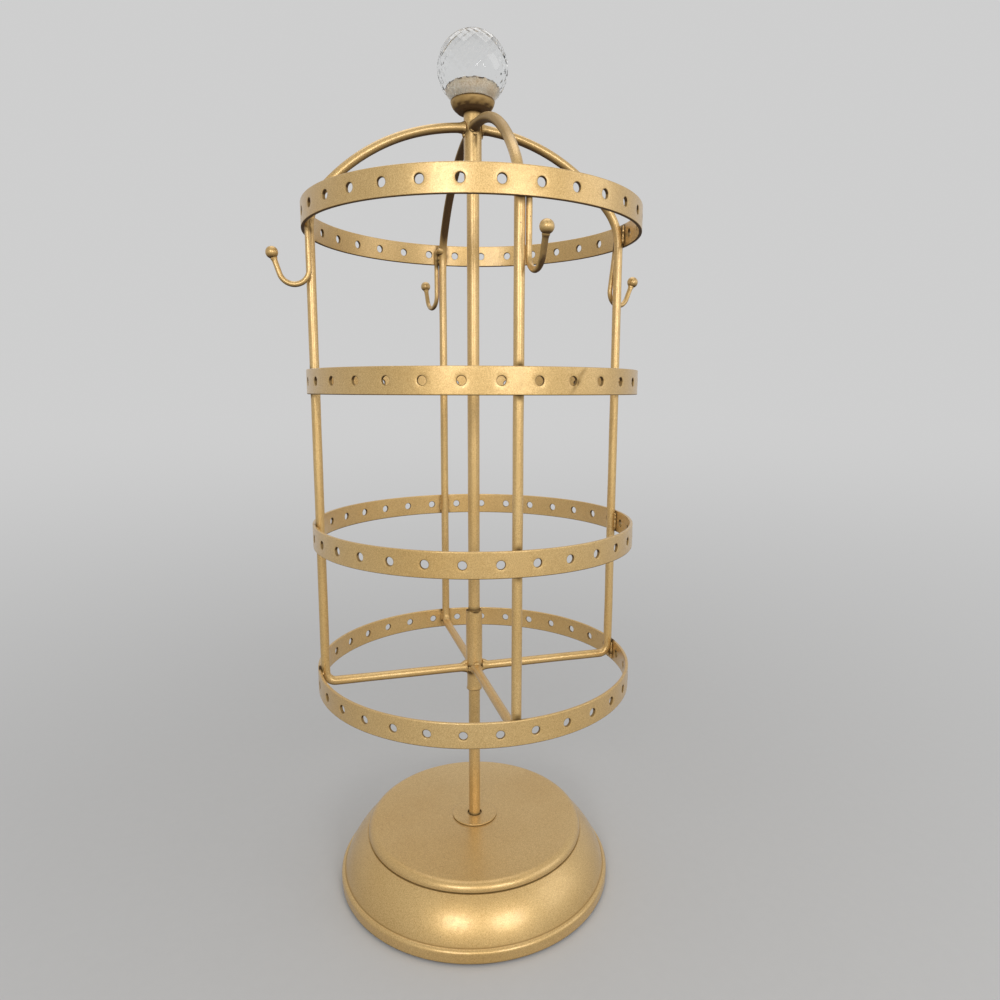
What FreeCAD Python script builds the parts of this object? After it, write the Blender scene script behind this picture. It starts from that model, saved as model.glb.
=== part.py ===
import FreeCAD, Part
import Sketcher
import math
import operator
import os
from types import SimpleNamespace

# A spinning earring and necklace tower. Four perforated rings are welded to four bent wires,
# the wires to two short sleeves, and this cage turns on a fixed rod that stands on a weighted,
# domed base. Each wire carries a necklace hook with a ball end, and a faceted crystal in a
# small cup closes the top. Millimetres, +Z up, the origin at the middle of the underside,
# and one of the four wires on each of -Y (front), +X (right), +Y (back) and -X (left).

sizes = {
    # rings
    "ringOuterRadius": 80.0,       # outside of all four rings
    "bandHeight": 11.4,            # height of the flat strip that a ring is bent from
    "bandThickness": 1.5,
    "topRingHeight": 331.1,        # lower edge of each ring above the floor
    "upperRingHeight": 256.9,
    "lowerRingHeight": 183.4,
    "bottomRingHeight": 110.4,
    "earringHoleDiameter": 3.7,
    "holesPerRing": 32,
    # wires of the cage
    "wireDiameter": 4.4,
    "crownSetback": 6.7,           # middle line of the wires, at the axis, below the cup
    "archRadius": 92.0,            # bend of a wire over the top
    "shoulderBend": 26.0,          # bend from the arch into the upright stretch
    "spokeHeight": 114.5,          # middle line of the spokes
    "spokeBend": 5.0,              # bend from the upright stretch into the spoke
    "weldGap": 0.05,               # room for the weld between two welded pieces
    # hooks
    "hookWireDiameter": 2.5,
    "hookTopSetback": 3.5,         # hook's end below the top ring's upper edge
    "hookBend": 6.7,               # bend of the hook's throat, to the wire's middle line
    "hookLean": 18.0,              # degrees that the outer leg leans from upright
    "hookLegLength": 9.5,          # from the end of the throat's bend to the ball's middle
    "hookBallDiameter": 5.6,
    "hookBallBoreDepth": 2.4,
    "frontHookDrop": 27.1,         # from the top ring's lower edge to each hook's lowest point
    "rightHookDrop": 27.5,
    "backHookDrop": 24.1,
    "leftHookDrop": 25.1,
    "frontHookTurn": 6.0,          # degrees that each hook is turned from facing straight out
    "rightHookTurn": 22.0,
    "backHookTurn": 14.0,
    "leftHookTurn": -7.0,
    "rightHookTilt": 6.5,          # degrees that the right hook is bent in towards the rod
    # rod and sleeves
    "rodDiameter": 6.0,
    "rodTipChamfer": 0.8,
    "runningClearance": 0.08,      # all round the rod, inside both sleeves
    "sleeveDiameter": 8.5,
    "sleeveBoreChamfer": 0.35,
    "lowerSleeveBottom": 102.1,
    "lowerSleeveLength": 43.2,
    "upperSleeveLength": 31.0,
    # finial
    "plugLength": 10.0,            # closes the upper sleeve and bears on the rod's tip
    "plugTapDepth": 7.0,
    "cupAboveTopRing": 56.2,       # from the top ring's lower edge to the underside of the cup
    "cupHeight": 5.4,
    "cupRimRadius": 10.4,
    "cupFootRadius": 7.9,
    "cupFootRound": 1.5,
    "cupLip": 0.7,
    "cupDishDepth": 0.6,
    "cupDishClearance": 0.5,       # round the crystal's seat
    "studDiameter": 4.0,
    "studClearance": 0.05,         # all round the stud, in the plug and in the cup
    "crystalRadius": 16.6,         # sphere through the crystal's corners
    "crystalTopRadius": 6.6,       # flat ground on its top
    "crystalSeatRadius": 8.5,      # flat that it stands on, glued into the cup's dish
    "crystalSides": 20,            # facets round its waist
    "crystalRows": 11,             # rows of corners above the waist, and as many below
    # base
    "sheetThickness": 1.2,
    "rimRadius": 71.8,
    "rimHeight": 7.4,              # crease between the rolled rim and the dome
    "rimRound": 2.0,               # where the rim turns in under the dome
    "rimLowerRound": 1.6,          # where it turns in under the bottom plate
    "rimGap": 0.3,                 # rim above the floor
    "rimFlangeWidth": 5.0,         # rim's sheet turned in under the bottom plate
    "domeRadius": 40.0,            # bend of the dome
    "domeTopRadius": 57.8,         # where the dome turns into the flat ledge
    "ledgeHeight": 25.2,           # flat step that carries the top plate
    "neckRadius": 46.0,            # opening in the middle of the dome
    "plateRadius": 57.2,
    "plateHeight": 29.7,           # upper face of the top plate
    "plateEdgeRound": 3.7,
    "plateLipChamfer": 0.5,
    "weightRadius": 44.0,
    "weightHeight": 16.0,
    "weightRecessRadius": 9.5,
    "weightRecessDepth": 8.0,
    "bottomPlateThickness": 1.5,
    "bottomPlateClearance": 0.3,
    "padClearance": 0.4,
    # fixing of the rod
    "threadDiameter": 5.0,
    "threadTail": 1.8,             # thread left below the nut
    "boltHoleClearance": 0.15,
    "washerRadius": 11.9,
    "washerThickness": 0.9,
    "washerBoreClearance": 0.55,   # all round the rod
    "nutWasherRadius": 7.5,
    "nutWasherThickness": 1.2,
    "nutAcrossFlats": 8.0,
    "nutHeight": 4.0,
}
wireAzimuths = {"front": -90, "right": 0, "back": 90, "left": 180}


class Size:
    """A number together with the sheet expression that gives it."""

    def __init__(self, number, words):
        self.number = number
        self.words = words

    def __add__(self, other):
        return combined(self, "+", other)

    def __sub__(self, other):
        return combined(self, "-", other)

    def __mul__(self, other):
        return combined(self, "*", other)

    def __truediv__(self, other):
        return combined(self, "/", other)


signs = {"+": operator.add, "-": operator.sub, "*": operator.mul, "/": operator.truediv}


def combined(left, sign, right):
    if not isinstance(right, Size):
        right = Size(right, str(right))
    return Size(signs[sign](left.number, right.number), f"({left.words} {sign} {right.words})")


def root(size):
    return Size(math.sqrt(size.number), f"sqrt({size.words})")


def sine(angle):
    return Size(math.sin(math.radians(angle.number)), f"sin({angle.words})")


def cosine(angle):
    return Size(math.cos(math.radians(angle.number)), f"cos({angle.words})")


doc = FreeCAD.newDocument("EarringTower")
sheet = doc.addObject("Spreadsheet::Sheet", "Sizes")
for row, (name, value) in enumerate(sizes.items(), start=1):
    sheet.set(f"A{row}", name)
    sheet.set(f"B{row}", str(value))
    sheet.setAlias(f"B{row}", name)
doc.recompute()
dim = SimpleNamespace(**{name: Size(value, "Sizes." + name) for name, value in sizes.items()})
nodes = []


# sketches

def newBody(label):
    body = doc.addObject("PartDesign::Body", label)
    body.Label = label
    nodes.append(body)
    return body


def newSketch(body, name, planeRole):
    sketch = body.newObject("Sketcher::SketchObject", name)
    plane = [part for part in body.Origin.OriginFeatures if part.Role == planeRole][0]
    sketch.AttachmentSupport = [(plane, "")]
    sketch.MapMode = "FlatFace"
    return sketch


def bind(sketch, constraint, size):
    sketch.setExpression(f"Constraints[{sketch.addConstraint(constraint)}]", size.words)


def pin(sketch, geometry, end, x, y):
    # ties a point to the sketch's axes; a plain 0 puts it on the axis itself
    verticalAxis = -2
    horizontalAxis = -1
    for kind, axis, place in (("DistanceX", verticalAxis, x), ("DistanceY", horizontalAxis, y)):
        if isinstance(place, Size):
            constraint = Sketcher.Constraint(kind, -1, 1, geometry, end, place.number)
            bind(sketch, constraint, place)
        else:
            sketch.addConstraint(Sketcher.Constraint("PointOnObject", geometry, end, axis))


def flatPoint(x, y):
    return FreeCAD.Vector(getattr(x, "number", 0.0), getattr(y, "number", 0.0), 0)


def drawEdge(sketch, start, end, bend, turn):
    # a straight edge, or an arc of radius bend whose centre lies on the left (turn 1)
    # or on the right (turn -1) of the way; returns the edge and its two end numbers
    if bend is None:
        return sketch.addGeometry(Part.LineSegment(start, end)), 1, 2
    chord = end - start
    rise = bend.number - math.sqrt(bend.number ** 2 - (chord.Length / 2) ** 2)
    outward = FreeCAD.Vector(chord.y, -chord.x, 0).normalize() * turn
    middle = (start + end) / 2 + outward * rise
    if turn > 0:
        edge = sketch.addGeometry(Part.Arc(start, middle, end))
    else:
        edge = sketch.addGeometry(Part.Arc(end, middle, start))
    bind(sketch, Sketcher.Constraint("Radius", edge, bend.number), bend)
    return (edge, 1, 2) if turn > 0 else (edge, 2, 1)


def drawPath(sketch, corners, closed):
    # corners are (x, y), or (x, y, bend, turn) where an arc arrives at the corner
    previous = None
    edges = []
    for index in range(0 if closed else 1, len(corners)):
        before = corners[index - 1]
        corner = corners[index]
        bend, turn = corner[2:] if len(corner) > 2 else (None, 0)
        edge = drawEdge(sketch, flatPoint(*before[:2]), flatPoint(*corner[:2]), bend, turn)
        if previous:
            sketch.addConstraint(
                Sketcher.Constraint("Coincident", previous[0], previous[2], edge[0], edge[1]))
        elif not closed:
            pin(sketch, edge[0], edge[1], *before[:2])
        pin(sketch, edge[0], edge[2], *corner[:2])
        previous = edge
        edges.append(edge)
    if closed:
        first = edges[0]
        sketch.addConstraint(
            Sketcher.Constraint("Coincident", previous[0], previous[2], first[0], first[1]))


def drawCircle(sketch, radius, x=0, y=0):
    up = FreeCAD.Vector(0, 0, 1)
    circle = sketch.addGeometry(Part.Circle(flatPoint(x, y), up, radius.number))
    bind(sketch, Sketcher.Constraint("Radius", circle, radius.number), radius)
    pin(sketch, circle, 3, x, y)  # point 3 of a circle is its centre


# ways of making a piece

def turned(label, corners):
    # an outline in the XZ plane, turned about Z
    body = newBody(label)
    sketch = newSketch(body, label + "_outline", "XZ_Plane")
    drawPath(sketch, corners, closed=True)
    turn = body.newObject("PartDesign::Revolution", label + "_turn")
    turn.Profile = sketch
    turn.ReferenceAxis = (sketch, ["V_Axis"])
    turn.Angle = 360
    return body


def punchedDisc(label, outerRadius, innerRadius, thickness, height):
    # a flat ring of sheet, lifted to its height
    body = newBody(label)
    sketch = newSketch(body, label + "_outline", "XY_Plane")
    drawCircle(sketch, outerRadius)
    drawCircle(sketch, innerRadius)
    sheetPad = body.newObject("PartDesign::Pad", label + "_pad")
    sheetPad.Profile = sketch
    sheetPad.setExpression("Length", thickness.words)
    body.setExpression("Placement.Base.z", height.words)
    return body


def bentWire(label, diameter, path):
    # a round wire along a path in the XZ plane
    body = newBody(label)
    spine = newSketch(body, label + "_path", "XZ_Plane")
    drawPath(spine, path, closed=False)
    doc.recompute()
    section = body.newObject("Sketcher::SketchObject", label + "_section")
    section.AttachmentSupport = [(spine, "Edge1")]
    section.MapMode = "NormalToEdge"
    drawCircle(section, diameter / 2)
    doc.recompute()
    wire = body.newObject("PartDesign::AdditivePipe", label + "_wire")
    wire.Profile = section
    wire.Spine = (spine, [f"Edge{number}" for number in range(1, len(path))])
    return body


def pocketThrough(body, label, sketch):
    pocket = body.newObject("PartDesign::Pocket", label)
    pocket.Profile = sketch
    pocket.Type = "ThroughAll"
    return pocket


def plainDisc(label, radius, thickness, height=None):
    disc = doc.addObject("Part::Cylinder", label)
    disc.Label = label
    disc.setExpression("Radius", radius.words)
    disc.setExpression("Height", thickness.words)
    if height:
        disc.setExpression("Placement.Base.z", height.words)
    return disc


def cutAway(label, block, tool):
    piece = doc.addObject("Part::Cut", label)
    piece.Label = label
    piece.Base = block
    piece.Tool = tool
    nodes.append(piece)
    return piece


def facing(side):
    return FreeCAD.Rotation(FreeCAD.Vector(0, 0, 1), wireAzimuths[side])


# base: pad and bottom plate, domed skirt, top plate, weight

rimInsideHeight = dim.rimGap + dim.sheetThickness
boltHoleRadius = dim.threadDiameter / 2 + dim.boltHoleClearance
plateUnderside = dim.plateHeight - dim.sheetThickness

padRadius = dim.rimRadius - dim.rimFlangeWidth - dim.padClearance
nodes.append(plainDisc("base_pad", padRadius, rimInsideHeight))
bottomPlateRadius = dim.rimRadius - dim.rimRound - dim.bottomPlateClearance
nodes.append(plainDisc(
    "base_bottom_plate", bottomPlateRadius, dim.bottomPlateThickness, rimInsideHeight))

rimRoundCentre = dim.rimRadius - dim.rimRound
rimInnerRound = dim.rimRound - dim.sheetThickness
lowerRoundCentre = dim.rimRadius - dim.rimLowerRound
lowerInnerRound = dim.rimLowerRound - dim.sheetThickness
flangeRadius = dim.rimRadius - dim.rimFlangeWidth

# the dome's bend: its centre lies square to the middle of the line from crease to ledge
domeRun = rimRoundCentre - dim.domeTopRadius
domeRise = dim.ledgeHeight - dim.rimHeight
domeChord = root(domeRun * domeRun + domeRise * domeRise)
centreToChord = root(dim.domeRadius * dim.domeRadius - domeChord * domeChord / 4)
domeCentreOut = (rimRoundCentre + dim.domeTopRadius) / 2 - domeRise * centreToChord / domeChord
domeCentreUp = (dim.ledgeHeight + dim.rimHeight) / 2 - domeRun * centreToChord / domeChord
insideRadius = dim.domeRadius - dim.sheetThickness


def insideOfDome(height):
    below = height - domeCentreUp
    return domeCentreOut + root(insideRadius * insideRadius - below * below)


ledgeUnderside = dim.ledgeHeight - dim.sheetThickness
creaseUnderside = dim.rimHeight - dim.sheetThickness
turned("base_skirt", [
    (dim.neckRadius, dim.ledgeHeight),
    (dim.neckRadius, ledgeUnderside),
    (insideOfDome(ledgeUnderside), ledgeUnderside),
    (insideOfDome(creaseUnderside), creaseUnderside, insideRadius, -1),
    (rimRoundCentre, creaseUnderside),
    (dim.rimRadius - dim.sheetThickness, dim.rimHeight - dim.rimRound, rimInnerRound, -1),
    (dim.rimRadius - dim.sheetThickness, dim.rimGap + dim.rimLowerRound),
    (lowerRoundCentre, rimInsideHeight, lowerInnerRound, -1),
    (flangeRadius, rimInsideHeight),
    (flangeRadius, dim.rimGap),
    (lowerRoundCentre, dim.rimGap),
    (dim.rimRadius, dim.rimGap + dim.rimLowerRound, dim.rimLowerRound, 1),
    (dim.rimRadius, dim.rimHeight - dim.rimRound),
    (rimRoundCentre, dim.rimHeight, dim.rimRound, 1),
    (dim.domeTopRadius, dim.ledgeHeight, dim.domeRadius, 1),
])

plateFlat = dim.plateRadius - dim.plateEdgeRound
plateInnerRound = dim.plateEdgeRound - dim.sheetThickness
plateShoulder = dim.plateHeight - dim.plateEdgeRound
turned("base_top_plate", [
    (boltHoleRadius, dim.plateHeight),
    (boltHoleRadius, plateUnderside),
    (plateFlat, plateUnderside),
    (dim.plateRadius - dim.sheetThickness, plateShoulder, plateInnerRound, -1),
    (dim.plateRadius - dim.sheetThickness, dim.ledgeHeight),
    (dim.plateRadius - dim.plateLipChamfer, dim.ledgeHeight),
    (dim.plateRadius, dim.ledgeHeight + dim.plateLipChamfer),
    (dim.plateRadius, plateShoulder),
    (plateFlat, dim.plateHeight, dim.plateEdgeRound, 1),
])

weightBottom = plateUnderside - dim.weightHeight
recessTop = weightBottom + dim.weightRecessDepth
turned("base_weight", [
    (boltHoleRadius, plateUnderside),
    (boltHoleRadius, recessTop),
    (dim.weightRecessRadius, recessTop),
    (dim.weightRecessRadius, weightBottom),
    (dim.weightRadius, weightBottom),
    (dim.weightRadius, plateUnderside),
])

# rod, its washer on the top plate, and its nut and washer under the weight

cupBottomHeight = dim.topRingHeight + dim.cupAboveTopRing
rodRadius = dim.rodDiameter / 2
threadRadius = dim.threadDiameter / 2
nutWasherHeight = recessTop - dim.nutWasherThickness
nutBottom = nutWasherHeight - dim.nutHeight
rodBottom = nutBottom - dim.threadTail
rodTip = cupBottomHeight - dim.plugLength
turned("centre_rod", [
    (0, rodBottom),
    (threadRadius, rodBottom),
    (threadRadius, dim.plateHeight),
    (rodRadius, dim.plateHeight),
    (rodRadius, rodTip - dim.rodTipChamfer),
    (rodRadius - dim.rodTipChamfer, rodTip),
    (0, rodTip),
])
washerBore = rodRadius + dim.washerBoreClearance
punchedDisc("rod_washer", dim.washerRadius, washerBore, dim.washerThickness, dim.plateHeight)
punchedDisc("nut_washer", dim.nutWasherRadius, boltHoleRadius, dim.nutWasherThickness,
            nutWasherHeight)
nutBlock = doc.addObject("Part::Prism", "nut_block")
nutBlock.Polygon = 6
nutBlock.setExpression("Circumradius", (dim.nutAcrossFlats / root(Size(3.0, "3"))).words)
nutBlock.setExpression("Height", dim.nutHeight.words)
nutBore = plainDisc("nut_bore", threadRadius + dim.studClearance, dim.nutHeight)
rodNut = cutAway("rod_nut", nutBlock, nutBore)
rodNut.setExpression("Placement.Base.z", nutBottom.words)

# sleeves that turn on the rod

sleeveRadius = dim.sleeveDiameter / 2
sleeveBore = rodRadius + dim.runningClearance


def sleeve(label, bottom, top):
    turned(label, [
        (sleeveBore + dim.sleeveBoreChamfer, bottom),
        (sleeveRadius, bottom),
        (sleeveRadius, top),
        (sleeveBore + dim.sleeveBoreChamfer, top),
        (sleeveBore, top - dim.sleeveBoreChamfer),
        (sleeveBore, bottom + dim.sleeveBoreChamfer),
    ])


sleeve("lower_sleeve", dim.lowerSleeveBottom, dim.lowerSleeveBottom + dim.lowerSleeveLength)
sleeve("upper_sleeve", cupBottomHeight - dim.upperSleeveLength, cupBottomHeight)

# wires: from the axis out along the spoke, up, and over the arch back to the axis

wireRadius = dim.wireDiameter / 2
ringInnerRadius = dim.ringOuterRadius - dim.bandThickness
uprightRadius = ringInnerRadius - dim.weldGap - wireRadius
crownHeight = cupBottomHeight - dim.crownSetback
archCentre = crownHeight - dim.archRadius
shoulderCentre = uprightRadius - dim.shoulderBend
centreDistance = dim.archRadius - dim.shoulderBend
shoulderRise = root(centreDistance * centreDistance - shoulderCentre * shoulderCentre)
archShare = dim.archRadius / centreDistance
wirePath = [
    (0, dim.spokeHeight),
    (uprightRadius - dim.spokeBend, dim.spokeHeight),
    (uprightRadius, dim.spokeHeight + dim.spokeBend, dim.spokeBend, 1),
    (uprightRadius, archCentre + shoulderRise),
    (shoulderCentre * archShare, archCentre + shoulderRise * archShare, dim.shoulderBend, 1),
    (0, crownHeight, dim.archRadius, 1),
]
for side in wireAzimuths:
    label = "upright_" + side
    upright = bentWire(label, dim.wireDiameter, wirePath)
    seat = newSketch(upright, label + "_seat", "XY_Plane")
    drawCircle(seat, sleeveRadius + dim.weldGap)
    coping = pocketThrough(upright, label + "_coping", seat)
    coping.Reversed = True
    upright.Placement.Rotation = facing(side)

# rings: a band with a row of holes, turned so that the wires lie midway between two holes

ringHeights = {
    "top": dim.topRingHeight,
    "upper": dim.upperRingHeight,
    "lower": dim.lowerRingHeight,
    "bottom": dim.bottomRingHeight,
}
for tier, height in ringHeights.items():
    label = "ring_" + tier
    ring = punchedDisc(label, dim.ringOuterRadius, ringInnerRadius, dim.bandHeight, height)
    holeSketch = newSketch(ring, label + "_hole", "XZ_Plane")
    insideBand = ringInnerRadius - dim.earringHoleDiameter
    holeSketch.setExpression("AttachmentOffset.Base.z", insideBand.words)
    drawCircle(holeSketch, dim.earringHoleDiameter / 2, y=dim.bandHeight / 2)
    hole = pocketThrough(ring, label + "_pocket", holeSketch)
    hole.Reversed = True
    holes = ring.newObject("PartDesign::PolarPattern", label + "_holes")
    holes.Originals = [hole]
    axis = [part for part in ring.Origin.OriginFeatures if part.Role == "Z_Axis"][0]
    holes.Axis = (axis, [""])
    holes.Angle = 360
    holes.setExpression("Occurrences", dim.holesPerRing.words)
    ring.Tip = holes
    halfPitch = 180 / dim.holesPerRing.number
    ring.Placement.Rotation = FreeCAD.Rotation(FreeCAD.Vector(0, 0, 1), halfPitch)

# hooks: each beside its wire, welded inside the top ring, and bent out below it

hookRadius = dim.hookWireDiameter / 2
shankRadius = ringInnerRadius - dim.weldGap - hookRadius
hookTop = dim.topRingHeight + dim.bandHeight - dim.hookTopSetback
shankSideways = wireRadius + hookRadius + dim.weldGap
shankAlong = root(shankRadius * shankRadius - shankSideways * shankSideways)
ballRadius = dim.hookBallDiameter / 2
hookDrops = {
    "front": dim.frontHookDrop,
    "right": dim.rightHookDrop,
    "back": dim.backHookDrop,
    "left": dim.leftHookDrop,
}
hookTurns = {
    "front": dim.frontHookTurn,
    "right": dim.rightHookTurn,
    "back": dim.backHookTurn,
    "left": dim.leftHookTurn,
}
leanSine = sine(dim.hookLean)
leanCosine = cosine(dim.hookLean)
throatEnd = dim.hookBend * (leanCosine + 1)
legToBore = dim.hookLegLength - ballRadius + dim.hookBallBoreDepth
for side, drop in hookDrops.items():
    # the hook's own frame has its shank on Z; it is turned there, then tilted about its top
    turning = FreeCAD.Rotation(FreeCAD.Vector(0, 0, 1), hookTurns[side].number)
    tilt = dim.rightHookTilt.number if side == "right" else 0
    tilting = FreeCAD.Rotation(FreeCAD.Vector(0, 1, 0), tilt)
    hookPlacement = FreeCAD.Placement(FreeCAD.Vector(), facing(side))
    hookPlacement *= FreeCAD.Placement(
        FreeCAD.Vector(shankAlong.number, shankSideways.number, hookTop.number), tilting)
    hookPlacement *= FreeCAD.Placement(FreeCAD.Vector(0, 0, -hookTop.number), turning)
    bendHeight = dim.topRingHeight - drop + dim.hookBend
    throatEndHeight = bendHeight - dim.hookBend * leanSine
    hook = bentWire("hook_" + side, dim.hookWireDiameter, [
        (0, hookTop),
        (0, bendHeight),
        (throatEnd, throatEndHeight, dim.hookBend, 1),
        (throatEnd + legToBore * leanSine, throatEndHeight + legToBore * leanCosine),
    ])
    hook.Placement = hookPlacement

    label = "hook_ball_" + side
    ball = doc.addObject("Part::Sphere", label + "_sphere")
    ball.setExpression("Radius", ballRadius.words)
    bore = plainDisc(label + "_bore", hookRadius + dim.weldGap, dim.hookBallBoreDepth)
    bore.setExpression("Placement.Base.z", f"-{ballRadius.words}")
    boredBall = cutAway(label, ball, bore)
    ballMiddle = FreeCAD.Vector(
        (throatEnd + dim.hookLegLength * leanSine).number,
        0,
        (throatEndHeight + dim.hookLegLength * leanCosine).number)
    leaning = FreeCAD.Rotation(FreeCAD.Vector(0, 1, 0), dim.hookLean.number)
    boredBall.Placement = hookPlacement * FreeCAD.Placement(ballMiddle, leaning)

# finial: plug in the upper sleeve, stud, cup and crystal

studRadius = dim.studDiameter / 2
studHole = studRadius + dim.studClearance
plugRadius = sleeveBore - dim.weldGap
tapBottom = cupBottomHeight - dim.plugTapDepth
turned("sleeve_plug", [
    (0, rodTip),
    (plugRadius, rodTip),
    (plugRadius, cupBottomHeight),
    (studHole, cupBottomHeight),
    (studHole, tapBottom),
    (0, tapBottom),
])

cupTop = cupBottomHeight + dim.cupHeight
dishFloor = cupTop - dim.cupDishDepth
turned("finial_cup", [
    (studHole, cupBottomHeight),
    (dim.cupFootRadius - dim.cupFootRound, cupBottomHeight),
    (dim.cupFootRadius, cupBottomHeight + dim.cupFootRound, dim.cupFootRound, 1),
    (dim.cupRimRadius, cupTop - dim.cupLip),
    (dim.cupRimRadius - dim.cupLip, cupTop, dim.cupLip, 1),
    (dim.crystalSeatRadius + dim.cupDishClearance, dishFloor),
    (studHole, dishFloor),
])

nodes.append(plainDisc("finial_stud", studRadius, dishFloor - tapBottom, tapBottom))


def crystalRows(radius, sides, rows):
    # Radius and height of each row of corners, from the waist up, on a sphere. Corners of
    # next rows lie half a step apart, and a line from the row before last, through the
    # middle of two corners of the last row, meets the sphere at the next row. The four
    # corners of every facet then lie in one plane.
    step = math.cos(math.pi / sides)
    found = [(radius, 0.0), (radius * step, radius * math.sin(math.pi / sides))]
    while len(found) <= rows:
        (startOut, startUp), (lastOut, lastUp) = found[-2:]
        out = lastOut * step - startOut
        up = lastUp - startUp
        travel = -2 * (startOut * out + startUp * up) / (out * out + up * up)
        found.append((startOut + travel * out, startUp + travel * up))
    return found


def facetedBall(radius, sides, rows):
    upper = crystalRows(radius, sides, rows)
    levels = [(out, -up) for out, up in reversed(upper[1:])] + upper

    def corner(level, halfSteps):
        out, up = levels[level]
        angle = math.pi * halfSteps / sides
        return FreeCAD.Vector(out * math.cos(angle), out * math.sin(angle), up)

    def facet(corners):
        return Part.Face(Part.makePolygon(corners + corners[:1]))

    last = len(levels) - 1
    facets = []
    for level in range(1, last):
        for turn in range(level % 2, 2 * sides, 2):
            facets.append(facet([
                corner(level - 1, turn + 1),
                corner(level, turn + 2),
                corner(level + 1, turn + 1),
                corner(level, turn),
            ]))
    for end, inward in ((0, 1), (last, -1)):
        rim = [corner(end, turn) for turn in range(end % 2, 2 * sides, 2)]
        facets.append(facet(rim))
        for turn in range(end % 2, 2 * sides, 2):
            facets.append(facet([
                corner(end, turn), corner(end, turn + 2), corner(end + inward, turn + 1)]))
    ball = Part.makeSolid(Part.makeShell(facets))
    if ball.Volume < 0:
        ball.reverse()
    return ball



def flatHeight(flatRadius):
    return root(dim.crystalRadius * dim.crystalRadius - flatRadius * flatRadius)


seatDepth = flatHeight(dim.crystalSeatRadius)
slabHeight = seatDepth + flatHeight(dim.crystalTopRadius)
stone = facetedBall(
    dim.crystalRadius.number, int(dim.crystalSides.number), int(dim.crystalRows.number))
lowerFlat = FreeCAD.Vector(0, 0, -seatDepth.number)
slab = Part.makeCylinder(dim.crystalRadius.number, slabHeight.number, lowerFlat)
crystal = doc.addObject("Part::Feature", "finial_crystal")
crystal.Label = "finial_crystal"
crystal.Shape = stone.common(slab)
crystal.Placement.Base = FreeCAD.Vector(0, 0, (dishFloor + seatDepth).number)
nodes.append(crystal)

# checks and export

doc.recompute()
for item in doc.Objects:
    if "Invalid" in item.State or "Error" in item.State:
        raise RuntimeError(f"{item.Label} did not compute: {item.State}")
os.makedirs("parts", exist_ok=True)
for node in nodes:
    if node.Shape.isNull() or not node.Shape.isValid():
        raise RuntimeError(f"{node.Label} has no valid shape")
    if len(node.Shape.Solids) != 1:
        raise RuntimeError(f"{node.Label} has {len(node.Shape.Solids)} solids")
for node in nodes:
    box = node.Shape.BoundBox
    print(f"{node.Label}: {node.Shape.Volume:.1f} mm3, x {box.XMin:.2f} to {box.XMax:.2f}, "
          f"y {box.YMin:.2f} to {box.YMax:.2f}, z {box.ZMin:.2f} to {box.ZMax:.2f}")
    node.Shape.exportStep(f"parts/{node.Label}.step")
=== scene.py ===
import math

import bmesh
import bpy
import numpy as np
from mathutils import Matrix, Vector


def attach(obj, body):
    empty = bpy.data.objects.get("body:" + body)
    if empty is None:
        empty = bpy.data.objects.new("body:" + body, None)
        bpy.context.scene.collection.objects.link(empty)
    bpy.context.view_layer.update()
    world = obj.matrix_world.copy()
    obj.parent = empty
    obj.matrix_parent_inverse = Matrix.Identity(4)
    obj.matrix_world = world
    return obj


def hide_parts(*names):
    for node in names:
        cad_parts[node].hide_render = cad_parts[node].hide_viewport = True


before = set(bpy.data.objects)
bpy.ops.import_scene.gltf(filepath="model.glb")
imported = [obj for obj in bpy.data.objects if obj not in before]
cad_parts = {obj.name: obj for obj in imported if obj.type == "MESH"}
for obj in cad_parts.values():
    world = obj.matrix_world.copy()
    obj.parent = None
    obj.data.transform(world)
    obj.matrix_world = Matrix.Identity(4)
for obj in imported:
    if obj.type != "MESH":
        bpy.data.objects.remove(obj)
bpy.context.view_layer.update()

# A turning jewelry tower: four punched rings on four bent wires, a fixed post, a domed base
# and a cut crystal on top. Shapes are worked out in millimetres and put into the meshes in metres.

wireAzimuths = {"front": -90.0, "right": 0.0, "back": 90.0, "left": 180.0}  # degrees
ringLowerEdges = {"top": 331.1, "upper": 256.9, "lower": 183.4, "bottom": 110.4}
creaseAngle = 38.0  # degrees; a corner that turns by more is shaded as a sharp one
print("frame loaded:", len(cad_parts), "nodes")


# Lines, arcs and surfaces.

def together(*parts):
    # Points from their coordinates; one coordinate may be shared by all, or by a row or column.
    return np.stack(np.broadcast_arrays(*parts), -1)


def straightRun(start, end, step, hold=0.12):
    # Even points from start to end, and one more close to each end that keeps the shading crisp.
    start, end = np.array(start, float), np.array(end, float)
    length = np.linalg.norm(end - start)
    way = np.linspace(0, 1, max(1, round(length / step)) + 1)
    if length > 4 * hold:
        way = np.concatenate([[0, hold / length], way[1:-1], [1 - hold / length, 1]])
    return start + (end - start) * way[:, None]


def arcRun(centre, radius, fromAngle, toAngle, step):
    # Centre + radius * (cosine, sine) of an angle that goes evenly from one end to the other.
    span = math.radians(abs(toAngle - fromAngle)) * radius
    angle = np.radians(np.linspace(fromAngle, toAngle, max(4, math.ceil(span / step)) + 1))
    return np.array(centre) + radius * together(np.cos(angle), np.sin(angle))


def chain(*runs):
    # Runs one after another, without the points that two of them share.
    points = np.concatenate(runs)
    gap = np.linalg.norm(np.diff(points, axis=0), axis=1)
    return points[np.concatenate([[True], gap > 1e-6])]


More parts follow.
